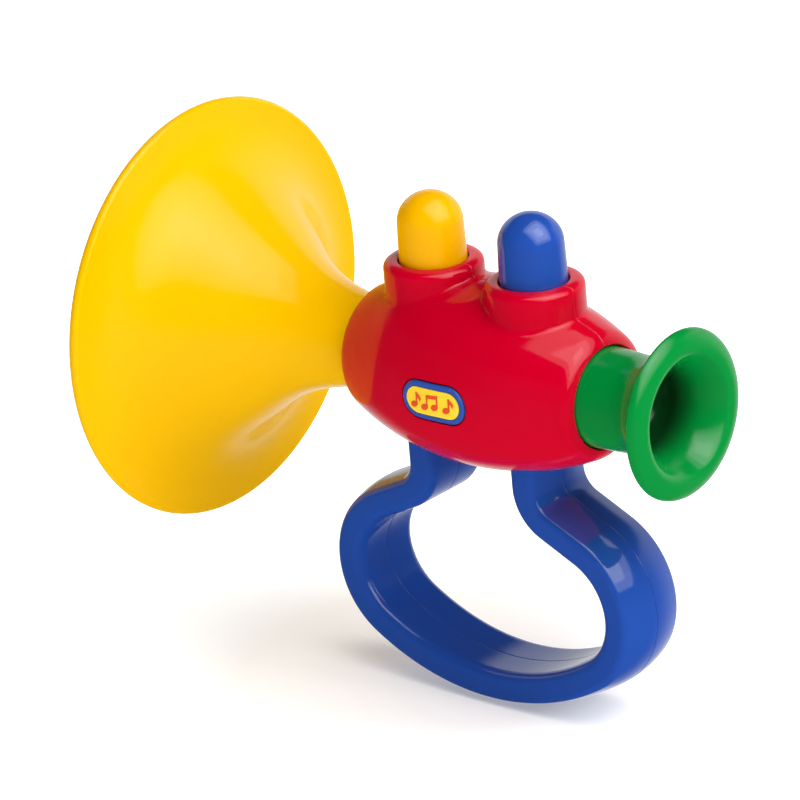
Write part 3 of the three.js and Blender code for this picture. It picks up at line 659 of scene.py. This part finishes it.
def sink_seam(piece):
    """Presses the outside in along the plane Y = 0, so that the parting line reads as a fine groove."""
    mesh = piece.data
    count = len(mesh.vertices)
    points, normals = np.empty(count * 3), np.empty(count * 3)
    mesh.vertices.foreach_get("co", points)
    mesh.vertices.foreach_get("normal", normals)
    points, normals = points.reshape(-1, 3), normals.reshape(-1, 3)
    depth = groove((points[:, 1] - BORE[1]) / MM)[:, None] * MM
    mesh.vertices.foreach_set("co", (points - normals * depth).ravel())
    mesh.update()


def half_of(piece, name, side):
    """One half of a closed piece, from the plane Y = 0 outwards, with its cut face filled."""
    mesh = piece.data.copy()
    box = bmesh.new()
    box.from_mesh(mesh)
    everything = box.verts[:] + box.edges[:] + box.faces[:]
    plane = Vector((0, BORE[1] + side * SEAM_GAP * MM / 2, 0))
    cut = bmesh.ops.bisect_plane(
        box, geom=everything, dist=MERGE_REACH, plane_co=plane, plane_no=(0, -side, 0), clear_outer=True
    )
    edges = [e for e in cut["geom_cut"] if isinstance(e, bmesh.types.BMEdge)]
    bmesh.ops.triangle_fill(box, edges=edges, use_beauty=True, use_dissolve=False)
    bmesh.ops.recalc_face_normals(box, faces=box.faces)
    box.to_mesh(mesh)
    box.free()
    return linked(name, mesh)


def pill_reach(half_length, half_height, direction):
    """How far a pill's outline is from its middle in each direction."""
    straight = half_length - half_height
    c, s = np.abs(direction[:, 0]), np.abs(direction[:, 1])
    flat = half_height / np.maximum(s, 1e-9)
    round_end = straight * c + np.sqrt(np.maximum(half_height ** 2 - (straight * s) ** 2, 0))
    return np.where(flat * c <= straight, flat, round_end)


def pill(name, length, height, stations):
    """A pill that lies on the near side of the barrel. Its section is a list of [inset, stand]: how far
    in from the outline, and how far out from the barrel. The rings close on the pill's long middle
    line. The stations that run from there to the outline make its underside."""
    angle = np.linspace(0, TURN, BADGE_STEPS, endpoint=False)
    straight = (length - height) / 2
    way = np.stack([np.cos(angle), np.sin(angle)], 1)
    edge = way * pill_reach(length / 2, height / 2, way)[:, None]
    anchor = np.stack([np.clip(edge[:, 0], -straight, straight), 0 * angle], 1)
    inward = (edge - anchor) / np.linalg.norm(edge - anchor, axis=1)[:, None]
    rings = []
    for inset, stand in stations:
        flat = anchor + inward * (height / 2 - inset)
        x = flat[:, 0] + BADGE_SHIFT
        z = flat[:, 1]
        radius = barrel_radius(x) + stand
        rings.append(np.stack([x, -np.sqrt(radius ** 2 - z ** 2), z], 1))
    points = np.concatenate(rings)
    return blank_mesh(name, points, grid_faces(len(stations), BADGE_STEPS, False, True))


def grip_edge(grow=0.0):
    """The grip's section for the side across > 0, as [across, out] pairs: a round at the inner corner, a
    round at the outer one, and a crown that is a circle tangent to it and level at the seam."""
    inner = (GRIP_HALF_W - GRIP_INNER_R, GRIP_INNER_R - GRIP_INNER_DEPTH)
    outer = (GRIP_HALF_W - GRIP_OUTER_R, GRIP_OUTER_DEPTH - GRIP_OUTER_R)
    rise = GRIP_OUTER_DEPTH + GRIP_CROWN - outer[1]
    crown_r = (outer[0] ** 2 + rise ** 2 - GRIP_OUTER_R ** 2) / (2 * (rise - GRIP_OUTER_R))
    crown = (0.0, GRIP_OUTER_DEPTH + GRIP_CROWN - crown_r)
    lean = math.atan2(outer[1] - crown[1], outer[0])
    return (arc(inner, GRIP_INNER_R + grow, -QUARTER, 0, 12),
            arc(outer, GRIP_OUTER_R + grow, 0, lean, 12),
            arc(crown, crown_r + grow, lean, QUARTER, 24))


def leg_tool(side):
    """A prism of the leg's section, a little larger, from below the body up into its hollow."""
    right = joined(*grip_edge(LEG_PLAY))
    outline = np.concatenate([right, right[::-1][1:] * [-1, 1]])
    x = GRIP_SHIFT + side * (LEG_SPREAD + outline[:, 1])
    ends = []
    for z in (LEG_TOOL_LOW - BODY_R, LEG_TOOL_HIGH - BODY_R):
        ends.append(np.stack([x, outline[:, 0], np.full(len(x), z)], 1))
    return blank_mesh("leg_tool", np.concatenate(ends), capped_faces(2, len(x)))


def screw_place(index):
    """Where a screw's axis crosses the plane Y = 0, and how far along Y its tip and its head reach."""
    low, high = (np.array(corner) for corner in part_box(f"body_screw_{index}"))
    place = ((low + high) / 2 - BORE) / MM
    return place[0], place[2], low[1] / MM, high[1] / MM


def screw_well(index):
    """A cylinder from the seat under a screw's head outwards."""
    x, z, _, head_top = screw_place(index)
    seat = head_top - SCREW_HEAD_H - WELL_SEAT_GAP
    outer = BODY_R + WELL_REACH
    profile = [[seat, 0], [seat, WELL_R], [outer, WELL_R], [outer, 0]]
    return turned("well", profile, "y", (x, 0, z), SCREW_SEGMENTS)


barrel = body_barrel()
sink_seam(barrel)
near_half = half_of(barrel, "body_shell_near_skin", -1)
far_half = half_of(barrel, "body_shell_far_skin", 1)
bpy.data.objects.remove(barrel)
pocket_middle = BADGE_HEIGHT / 2 + POCKET_LAP
pocket = pill("pocket", BADGE_LENGTH + 2 * BADGE_GROOVE, BADGE_HEIGHT + 2 * BADGE_GROOVE, [
    [pocket_middle, POCKET_TOP], [0.0, POCKET_TOP], [0.0, POCKET_FLOOR], [pocket_middle, POCKET_FLOOR],
])
carved(near_half, pocket, leg_tool(-1), leg_tool(1))
carved(far_half, leg_tool(-1), leg_tool(1), *[screw_well(index) for index in (1, 2, 3)])
finished(near_half, "trumpet", red, "red_plastic", "body_shell_near")
finished(far_half, "trumpet", red, "red_plastic", "body_shell_far")


# Screws


def screw(index):
    """A pan-head screw: a domed head with a cross recess, a shank whose thread is a row of ridges, and a
    cone tip."""
    x, z, tip, top = screw_place(index)
    head, shank = SCREW_HEAD_R, SCREW_SHANK_R
    under = top - SCREW_HEAD_H
    dome_h = HEAD_DOME_SHARE * SCREW_HEAD_H
    dome = [[top - dome_h * (1 - math.cos(a)), head * math.sin(a)] for a in np.linspace(0, QUARTER, 10)]
    edge = [[under + HEAD_EASE, head], [under, head - HEAD_EASE], [under, shank]]
    thread = []
    for place in np.arange(under - THREAD_START, tip + CONE_H, -THREAD_PITCH):
        thread += [[place, shank], [place - RIDGE_HALF, THREAD_R], [place - 2 * RIDGE_HALF, shank]]
    profile = dome + edge + thread + [[tip, 0]]
    made = turned(f"body_screw_{index}_detail", profile, "y", (x, 0, z), SCREW_SEGMENTS)
    recess = []
    for wide, tall in ((RECESS_HALF_W, RECESS_HALF_L), (RECESS_HALF_L, RECESS_HALF_W)):
        low = in_row([x - wide, top - RECESS_DEPTH, z - tall])
        high = in_row([x + wide, top + RECESS_DEPTH, z + tall])
        mesh = bpy.data.meshes.new("recess")
        box = bmesh.new()
        bmesh.ops.create_cube(box, size=1)
        size = Matrix.Diagonal((*(high - low), 1))
        bmesh.ops.transform(box, matrix=Matrix.Translation((low + high) / 2) @ size, verts=box.verts)
        box.to_mesh(mesh)
        box.free()
        recess.append(linked("recess", mesh))
    carved(made, *recess)
    return finished(made, "trumpet", steel, "spring_steel", f"body_screw_{index}")


for index in (1, 2, 3):
    screw(index)


# Bell


def bell_curve():
    """The bell's outside from the body to the rim, with its left-hand normals: a cubic Bezier for the
    neck that widens slowly to the start of the flare, and one for the flare, which ends radially."""
    neck = np.array([-BODY_HALF, NECK_R])
    flare = np.array([-BODY_HALF - NECK_REACH, FLARE_R])
    rim = np.array([BELL_FRONT + LIP_SETBACK * LIP_R, BELL_RIM_R - LIP_R])
    neck_pull = NECK_PULL_SHARE * np.linalg.norm(flare - neck)
    flare_chord = np.linalg.norm(rim - flare)

    def pulled(point, slope, pull):
        return point + pull * np.array([-math.cos(slope), math.sin(slope)])

    first, first_normal = bezier(
        neck,
        pulled(neck, NECK_SLOPE, neck_pull),
        pulled(flare, FLARE_SLOPE, -neck_pull),
        flare, 60)
    second, second_normal = bezier(
        flare,
        pulled(flare, FLARE_SLOPE, FLARE_PULL_SHARE * flare_chord),
        pulled(rim, RIM_SLOPE, -RIM_PULL_SHARE * flare_chord),
        rim, 70)
    return np.concatenate([first, second[1:]]), np.concatenate([first_normal, second_normal[1:]])


def bell():
    """The bell's curve and the same curve moved in by the wall, which thickens into a rolled lip, with
    a flange at the neck's end inside the body."""
    outside, normal = bell_curve()
    near_rim = np.clip((outside[:, 1:] / BELL_RIM_R - LIP_BLEND) / (1 - LIP_BLEND), 0, 1)
    wall = BELL_WALL + (LIP_SHARE * LIP_R - BELL_WALL) * near_rim ** 2
    inside = (outside + normal * wall)[::-1]
    lip_centre = (BELL_FRONT + LIP_R, BELL_RIM_R - LIP_R)
    lip = arc(lip_centre, LIP_R, LIP_START, math.pi - LIP_START, 22)
    inner_end = -BODY_HALF + END_WALL + END_GAP
    back = inner_end + END_FLANGE_H
    bore = inside[-1][1]
    flange = NECK_R + BELL_FLANGE
    inside_neck = eased([[back, bore], [back, flange], [inner_end, flange], [inner_end, NECK_R],
                         [-BODY_HALF, NECK_R]], BELL_EASE)
    profile = joined(inside_neck, outside[1:], lip, inside)
    return turned("bell_skin", profile, segments=BELL_SEGMENTS)


finished(bell(), "trumpet", yellow, "yellow_plastic", "bell")


# Mouthpiece


def mouthpiece():
    """A nearly straight tube whose outside flares to a rim. A soft curve leads from the rim to its front,
    a round leads from there into the cup, and the cup narrows to a deep bowl with the throat in its end."""
    flare_start = BODY_HALF + TUBE_REACH
    rim = MOUTH_FRONT - BEAD_R
    length = rim - flare_start
    inner_end = BODY_HALF - END_WALL - END_GAP
    bead_r = MOUTH_RIM_R - BEAD_INSET
    outside, _ = bezier(
        (flare_start, TUBE_END_R),
        (flare_start + FLARE_START_PULL * length, TUBE_END_R),
        (rim - FLARE_END_PULL * length, MOUTH_RIM_R * FLARE_END_SHARE),
        (rim, MOUTH_RIM_R), 48)
    front, _ = bezier(
        (rim, MOUTH_RIM_R),
        (rim + BEAD_PULL_SHARE * BEAD_R, MOUTH_RIM_R),
        (MOUTH_FRONT, bead_r + BEAD_PULL_SHARE * BEAD_INSET),
        (MOUTH_FRONT, bead_r), 24)
    back_corner = eased(np.concatenate([outside[-6:-1], front[:4]]), RIM_EASE, 5)
    bead = arc((rim, bead_r), BEAD_R, 0, -QUARTER / 2, 16)
    bowl = np.array([rim - BOWL_DEPTH, BOWL_R])
    floor_depth, floor_rise = CUP_DEPTH - BOWL_DEPTH, BOWL_R - THROAT_R
    cup_end_x = rim - CUP_DEPTH
    cup_side, _ = bezier(
        bead[-1],
        bead[-1] - CUP_PULL,
        bowl + (CUP_PULL_SHARE * BOWL_DEPTH, 0),
        bowl, 40)
    cup_end, _ = bezier(
        bowl,
        bowl - (CUP_PULL_SHARE * floor_depth, 0),
        (cup_end_x, THROAT_R + CUP_PULL_SHARE * floor_rise),
        (cup_end_x, THROAT_R + THROAT_EDGE), 24)
    throat_edge = arc((cup_end_x - THROAT_EDGE, THROAT_R + THROAT_EDGE), THROAT_EDGE, 0, -QUARTER, 6)
    back = inner_end - END_FLANGE_H
    root, sleeve = back + THROAT_LENGTH, THROAT_R + THROAT_WALL
    hollow, flange = TUBE_END_R - TUBE_WALL, TUBE_R + TUBE_FLANGE
    start = eased([[back, THROAT_R], [back, sleeve], [root, sleeve], [root, hollow], [back, hollow],
                   [back, flange], [inner_end, flange], [inner_end, TUBE_R], [BODY_HALF, TUBE_R],
                   [flare_start, TUBE_END_R]], TUBE_EASE)
    profile = joined(start, outside[1:-6], back_corner, front[4:], bead[1:], cup_side[1:], cup_end[1:],
                     throat_edge[1:])
    piece = turned("mouthpiece_skin", profile, segments=MOUTH_SEGMENTS)
    # Painted shade, darkening the inside of the bowl towards the throat
    paint_cup_shade(piece, rim)
    return piece


def paint_cup_shade(piece, rim):
    """The attribute for painted shade in the cup: nothing at the mouth of the cup, rising smoothly to one
    along the inside of the bowl, and nothing on the outside."""
    points = np.empty(len(piece.data.vertices) * 3)
    piece.data.vertices.foreach_get("co", points)
    points = (points.reshape(-1, 3) - BORE) / MM
    far_in = np.clip((rim - PAINTED_SHADE_START - points[:, 0]) / (PAINTED_SHADE_END - PAINTED_SHADE_START), 0, 1)
    inside = np.hypot(points[:, 1], points[:, 2]) < BOWL_R + PAINTED_SHADE_MARGIN
    painted_shade = piece.data.attributes.new("painted_shade", "FLOAT", "POINT")
    painted_shade.data.foreach_set("value", far_in ** 2 * (3 - 2 * far_in) * inside)


finished(mouthpiece(), "trumpet", green, "green_plastic", "mouthpiece")


# Buttons


def button(side):
    """A slightly tapered cap with an elliptic dome, a flange under the collar and a hollow inside."""
    shoulder = BUTTON_TOP - DOME_H
    flange_top = COLLAR_TOP - LIP_DEPTH - FLANGE_GAP
    flange_low, bottom = flange_top - FLANGE_H, flange_top - SKIRT_REACH
    hollow = BUTTON_R - BUTTON_WALL
    angle = np.linspace(0, QUARTER, 32)
    dome = np.stack([shoulder + DOME_H * np.sin(angle), BUTTON_TOP_R * np.cos(angle)], 1)
    inner_r = hollow - BUTTON_LEDGE
    inner = np.stack([shoulder + (DOME_H - BUTTON_WALL) * np.sin(angle), inner_r * np.cos(angle)], 1)[::-1]
    ledge = COLLAR_TOP - BUTTON_LEDGE
    skirt = eased([[bottom, hollow], [bottom, BUTTON_R], [flange_low, BUTTON_R],
                   [flange_low, FLANGE_R], [flange_top, FLANGE_R], [flange_top, BUTTON_R],
                   [COLLAR_TOP, BUTTON_R]], BUTTON_EASE)
    close = [[ledge, inner_r], [ledge, hollow], [bottom, hollow]]
    profile = joined(skirt, dome, inner, close)[:-1]
    name = "bell_side" if side < 0 else "mouth_side"
    made = turned(f"button_{name}_skin", profile, "z", (side * BUTTON_X, 0, 0))
    finish = (button_yellow, "yellow_plastic") if side < 0 else (blue, "blue_plastic")
    return finished(made, f"button_{name}", *finish, f"button_{name}")


button(-1)
button(1)


# Grip


def grip_path():
    """The grip's middle line in the plane Y = 0 and its outward normals: a leg, a bend, the shoulder, the
    end arc and the bottom arc, each tangent to the one before, then the same mirrored."""
    bend = np.array([LEG_SPREAD + BEND_R, -BODY_R - LEG_DROP])
    c, s = math.cos(SHOULDER), math.sin(SHOULDER)
    shoulder_x = END_SPREAD + END_R * s
    shoulder_z = bend[1] - (BEND_R - s * (bend[0] - shoulder_x)) / c
    end = np.array([END_SPREAD, shoulder_z - END_R * c])
    bottom_z = end[1] + math.sqrt((BOTTOM_R - END_R) ** 2 - END_SPREAD ** 2)
    join = math.atan2(end[1] - bottom_z, END_SPREAD)
    stretches = [
        [[LEG_SPREAD, -FOOT_TOP]],
        np.stack([np.full(12, LEG_SPREAD), np.linspace(-FOOT_TOP, bend[1], 12)], 1),
        arc(bend, BEND_R, math.pi, math.pi + QUARTER - SHOULDER, 22),
        np.linspace(bend + BEND_R * np.array([-s, -c]), end + END_R * np.array([s, c]), 20),
        arc(end, END_R, QUARTER - SHOULDER, join, 70),
        arc((0, bottom_z), BOTTOM_R, join, -QUARTER, 60),
    ]
    right = joined(*stretches)
    whole = np.concatenate([right, (right * [-1, 1])[::-1][1:]])
    way = np.gradient(whole, axis=0)
    way /= np.linalg.norm(way, axis=1)[:, None]
    return whole, np.stack([-way[:, 1], way[:, 0]], 1)


def grip_half(side):
    """Half of the loop: a closed section carried along the path. The section has a flat inner face, two
    rounded corners, a crowned outer face, and small rounds where it meets the other half."""
    gap, ease = SEAM_GAP / 2, SEAM_EDGE
    low, high = -GRIP_INNER_DEPTH, GRIP_OUTER_DEPTH + GRIP_CROWN
    inner_round = arc((gap + ease, low + ease), ease, math.pi, math.pi + QUARTER, 5)
    flat = np.stack([np.linspace(gap + ease, GRIP_HALF_W - GRIP_INNER_R, 9), np.full(9, low)], 1)
    inner, outer, crown = grip_edge()
    crown = crown[crown[:, 0] > gap + ease * 2]
    outer_round = arc((gap + ease, high - ease), ease, QUARTER, math.pi, 5)
    section = joined(inner_round, flat, inner, outer, crown, outer_round)
    path, out = grip_path()
    points = np.zeros((len(path), len(section), 3))
    across, depth = section[:, 0], section[:, 1]
    points[:, :, 0] = GRIP_SHIFT + path[:, :1] + out[:, :1] * depth
    points[:, :, 1] = side * across
    points[:, :, 2] = path[:, 1:] + out[:, 1:] * depth
    name = "near" if side < 0 else "far"
    faces = capped_faces(len(path), len(section))
    made = blank_mesh(f"grip_{name}_skin", points.reshape(-1, 3), faces)
    return finished(made, "trumpet", blue, "blue_plastic", f"grip_shell_{name}")


grip_half(-1)
grip_half(1)


# Badge


def badge():
    """The blue border with a round edge, and the sunken yellow field inside it."""
    edge = BADGE_EDGE_R
    sunk = BADGE_PROUD - FIELD_SINK
    border = [[BADGE_HEIGHT / 2, BADGE_UNDER], [0.0, BADGE_UNDER]]
    border += [[edge - edge * math.sin(a), BADGE_PROUD - edge * (1 - math.cos(a))]
               for a in np.linspace(QUARTER, 0, 7)]
    border += [[BADGE_RIM - BEVEL_START, BADGE_PROUD], [BADGE_RIM - BEVEL_END, BADGE_PROUD - BEVEL_DROP],
               [BADGE_RIM, sunk], [BADGE_HEIGHT / 2, sunk]]
    frame_piece = pill("badge_border", BADGE_LENGTH, BADGE_HEIGHT, border)
    finished(frame_piece, "trumpet", badge_blue, "badge_print", "badge")
    inset = BADGE_RIM + FIELD_PLAY
    middle, under = BADGE_HEIGHT / 2 - inset, sunk + FIELD_GAP
    inward, down = FIELD_BEVEL
    field = [[middle, under], [0.0, under], [0.0, FIELD_TOP - down], [inward, FIELD_TOP],
             [middle, FIELD_TOP]]
    plate = pill("badge_field", BADGE_LENGTH - 2 * inset, 2 * middle, field)
    finished(plate, "trumpet", badge_yellow, "badge_print")


badge()


def leaning_oval(x, z):
    """A note's head: an oval that leans to the right."""
    angle = np.linspace(0, TURN, 28, endpoint=False)
    oval = np.stack([HEAD_SIZE[0] * np.cos(angle), HEAD_SIZE[1] * np.sin(angle)], 1)
    c, s = math.cos(HEAD_LEAN), math.sin(HEAD_LEAN)
    return oval @ np.array([[c, s], [-s, c]]) + [x, z]


def note_outlines():
    """Three generic notes along the field, as closed outlines about the badge's middle: a quaver, a pair
    joined by a sloping beam, and a quaver. Each stem stands at its head's right edge."""
    outlines = []
    for x, z in NOTE_HEADS:
        edge, top = x + HEAD_SIZE[0] - STEM_W, z + STEM_H
        outlines.append(leaning_oval(x, z))
        outlines.append(np.array([[edge, z], [edge + STEM_W, z], [edge + STEM_W, top], [edge, top]]))
    for x, z in (NOTE_HEADS[0], NOTE_HEADS[3]):
        outlines.append(np.array(FLAG) + (x + HEAD_SIZE[0] - STEM_W, z + STEM_H))
    (x0, z0), (x1, z1) = NOTE_HEADS[1:3]
    left, right = x0 + HEAD_SIZE[0] - STEM_W, x1 + HEAD_SIZE[0]
    low, high = z0 + STEM_H, z1 + STEM_H
    outlines.append(np.array([[left, low - BEAM_H], [right, high - BEAM_H], [right, high], [left, low]]))
    return outlines


def note_piece(index, outline):
    """One stroke of a note: its outline drawn in a little as it rises, laid on the badge's field."""
    middle = outline.mean(0)
    rings = []
    for share, stand in NOTE_RINGS:
        flat = middle + (outline - middle) * share
        x, z = flat[:, 0] + BADGE_SHIFT, flat[:, 1]
        radius = barrel_radius(x) + NOTE_BASE + stand
        rings.append(np.stack([x, -np.sqrt(radius ** 2 - z ** 2), z], 1))
    faces = capped_faces(len(rings), len(outline))
    made = blank_mesh(f"badge_note_{index}", np.concatenate(rings), faces)
    return finished(made, "trumpet", badge_red, "badge_print")


for index, outline in enumerate(note_outlines(), 1):
    note_piece(index, outline)


# Button springs


def button_spring(side):
    """Round wire carried along a helix. The turns at both ends lie nearly flat, and the rest rises
    evenly. The real spring shortens as its button goes down, towards the seat that it stands on; here it
    is built between the foot and the top that the frame gives, on a mesh of its own."""
    name = "bell_side" if side < 0 else "mouth_side"
    low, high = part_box(f"button_spring_{name}")
    foot, top = ((corner[2] - BORE[2]) / MM for corner in (low, high))
    turn = np.linspace(0, SPRING_TURNS, SPRING_TURNS * TURN_STEPS + 1)
    stops = [0, FLAT_TURNS, SPRING_TURNS - FLAT_TURNS, SPRING_TURNS]
    heights = [foot + WIRE_R, foot + 2 * WIRE_R, top - 2 * WIRE_R, top - WIRE_R]
    angle = turn * TURN
    out = np.stack([np.cos(angle), np.sin(angle), np.zeros(len(turn))], 1)
    middle = SPRING_R * out + (0, 0, 1) * np.interp(turn, stops, heights)[:, None]
    along = np.gradient(middle, axis=0)
    along /= np.linalg.norm(along, axis=1)[:, None]
    across = np.cross(along, out)
    c, s = (f(np.arange(WIRE_SIDES) * TURN / WIRE_SIDES)[:, None] for f in (np.cos, np.sin))
    points = middle[:, None] + WIRE_R * (c * out[:, None] + s * across[:, None])
    points = points.reshape(-1, 3) + (side * BUTTON_X, 0, 0)
    made = blank_mesh(f"button_spring_{name}_coil", points, capped_faces(len(turn), WIRE_SIDES))
    finished(made, "trumpet", steel, "spring_steel", f"button_spring_{name}")
    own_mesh(made)


button_spring(-1)
button_spring(1)


# Pieces that stay as they are in the frame

KEPT = {
    "reed_box": natural, "reed_box_lid": natural,
    "plunger_bell_side": natural, "plunger_mouth_side": natural,
    "mouth_seal": rubber, "valve_pad_bell_side": rubber, "valve_pad_mouth_side": rubber,
    "reed_plate_bell_side": brass, "reed_plate_mouth_side": brass,
    "reed_tongue_bell_side": brass, "reed_tongue_mouth_side": brass,
    "reed_rivet_bell_side": brass, "reed_rivet_mouth_side": brass,
}
for node, material in KEPT.items():
    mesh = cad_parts[node].data
    mesh.materials.clear()
    mesh.materials.append(material)


# Studio

FLOOR_GLOW = 0.31
ROOM_LIGHT = 0.05
BACKDROP_LIGHT = 0.9
BACKDROP_EDGE = (0.25, 0.75)
BACKDROP = (-0.45, 0.88, 0.1)
BACKDROP_TOP = (0.4, 0.52)
GLOW_REACH = (0.05, 0.13)
GLOW_MIDDLE = (-0.02, 0.0, 0.0)
TABLE_REACH = 6.0
TABLE_WHITE = (0.8, 0.8, 0.79, 1.0)
TABLE_ROUGHNESS = 0.9


def panel(name, size, place, power):
    """A soft box: an area light at a place, in millimetres about the bore, aimed at the body's middle."""
    light = bpy.data.lights.new(name, "AREA")
    light.shape = "RECTANGLE"
    light.size, light.size_y = size
    light.energy = power
    lamp = linked(name, light)
    lamp.location = in_row(place)
    way = Vector(BORE) - Vector(lamp.location)
    lamp.rotation_euler = way.to_track_quat("-Z", "Y").to_euler()
    return lamp


def floor():
    """A wide white table top that the grip stands on. It glows a little, more so away from the toy, so
    that only the soft shadow under the toy is darker than white paper."""
    far = TABLE_REACH
    mesh = bpy.data.meshes.new("table_top")
    corners = [(-far, -far, 0), (far, -far, 0), (far, far, 0), (-far, far, 0)]
    mesh.from_pydata(corners, [], [(0, 1, 2, 3)])
    material, tree, shader = blank_material("white_table_top")
    shader.inputs["Base Color"].default_value = TABLE_WHITE
    shader.inputs["Roughness"].default_value = TABLE_ROUGHNESS
    shader.inputs["Specular IOR Level"].default_value = 0.0
    shader.inputs["Emission Color"].default_value = (1, 1, 1, 1)
    place = tree.nodes.new("ShaderNodeTexCoord").outputs["Object"]
    away = tree.nodes.new("ShaderNodeVectorMath")
    away.operation = "DISTANCE"
    away.inputs[1].default_value = GLOW_MIDDLE
    tree.links.new(place, away.inputs[0])
    glow = mapped(tree, away.outputs["Value"], GLOW_REACH, (FLOOR_GLOW, 1.0))
    tree.links.new(glow, shader.inputs["Emission Strength"])
    mesh.materials.append(material)
    top = linked("table_top", mesh)
    top.visible_glossy = False


def studio_world():
    """A dim room with a white backdrop on one side: the sky's brightness rises smoothly with the
    direction's share along BACKDROP, and falls again above the backdrop's top."""
    world = bpy.data.worlds.new("studio")
    world.use_nodes = True
    tree = world.node_tree
    place = tree.nodes.new("ShaderNodeTexCoord").outputs["Generated"]
    facing = tree.nodes.new("ShaderNodeVectorMath")
    facing.operation = "DOT_PRODUCT"
    facing.inputs[1].default_value = BACKDROP
    tree.links.new(place, facing.inputs[0])
    share = mapped(tree, facing.outputs["Value"], BACKDROP_EDGE, (ROOM_LIGHT, BACKDROP_LIGHT), True)
    split = tree.nodes.new("ShaderNodeSeparateXYZ")
    tree.links.new(place, split.inputs["Vector"])
    below = mapped(tree, split.outputs["Z"], BACKDROP_TOP, (1.0, ROOM_LIGHT), True)
    both = tree.nodes.new("ShaderNodeMath")
    both.operation = "MULTIPLY"
    tree.links.new(share, both.inputs[0])
    tree.links.new(below, both.inputs[1])
    sky = tree.nodes["Background"]
    sky.inputs["Color"].default_value = (1, 1, 1, 1)
    tree.links.new(both.outputs["Value"], sky.inputs["Strength"])
    bpy.context.scene.world = world


floor()
studio_world()

# One soft box, brighter towards its middle, and a weak light from the front that no gloss shows
panel("key", (1.34, 1.69), (582, -19, 814), 13.5)
panel("key_middle", (0.9, 1.15), (576, -19, 806), 6.4)
panel("key_core", (0.4, 0.5), (570, -19, 798), 1.4)
fill = panel("fill", (1.0, 1.0), (100, -1400, 100), 4.9)
fill.visible_glossy = False


# Camera: its place and its axes in the toy's own directions, and its angle of view
EYE = (1225.12, -1405.44, 739.99)
RIGHT = Vector((0.763495, 0.640696, -0.081147))
DOWN = Vector((0.182043, -0.334065, -0.924803))
FOCAL_SHARE = 7312.43 / 800
view = bpy.data.cameras.new("camera")
view.sensor_width = 36.0
view.lens = FOCAL_SHARE * view.sensor_width
view.clip_end = 20.0
camera = linked("camera", view)
back = -RIGHT.cross(DOWN).normalized()
up = -DOWN.normalized()
right = up.cross(back).normalized()
back = right.cross(up)
camera.matrix_world = Matrix.Translation(in_row(EYE)) @ Matrix((right, up, back)).transposed().to_4x4()
bpy.context.scene.camera = camera
bpy.context.scene.view_settings.view_transform = "Standard"
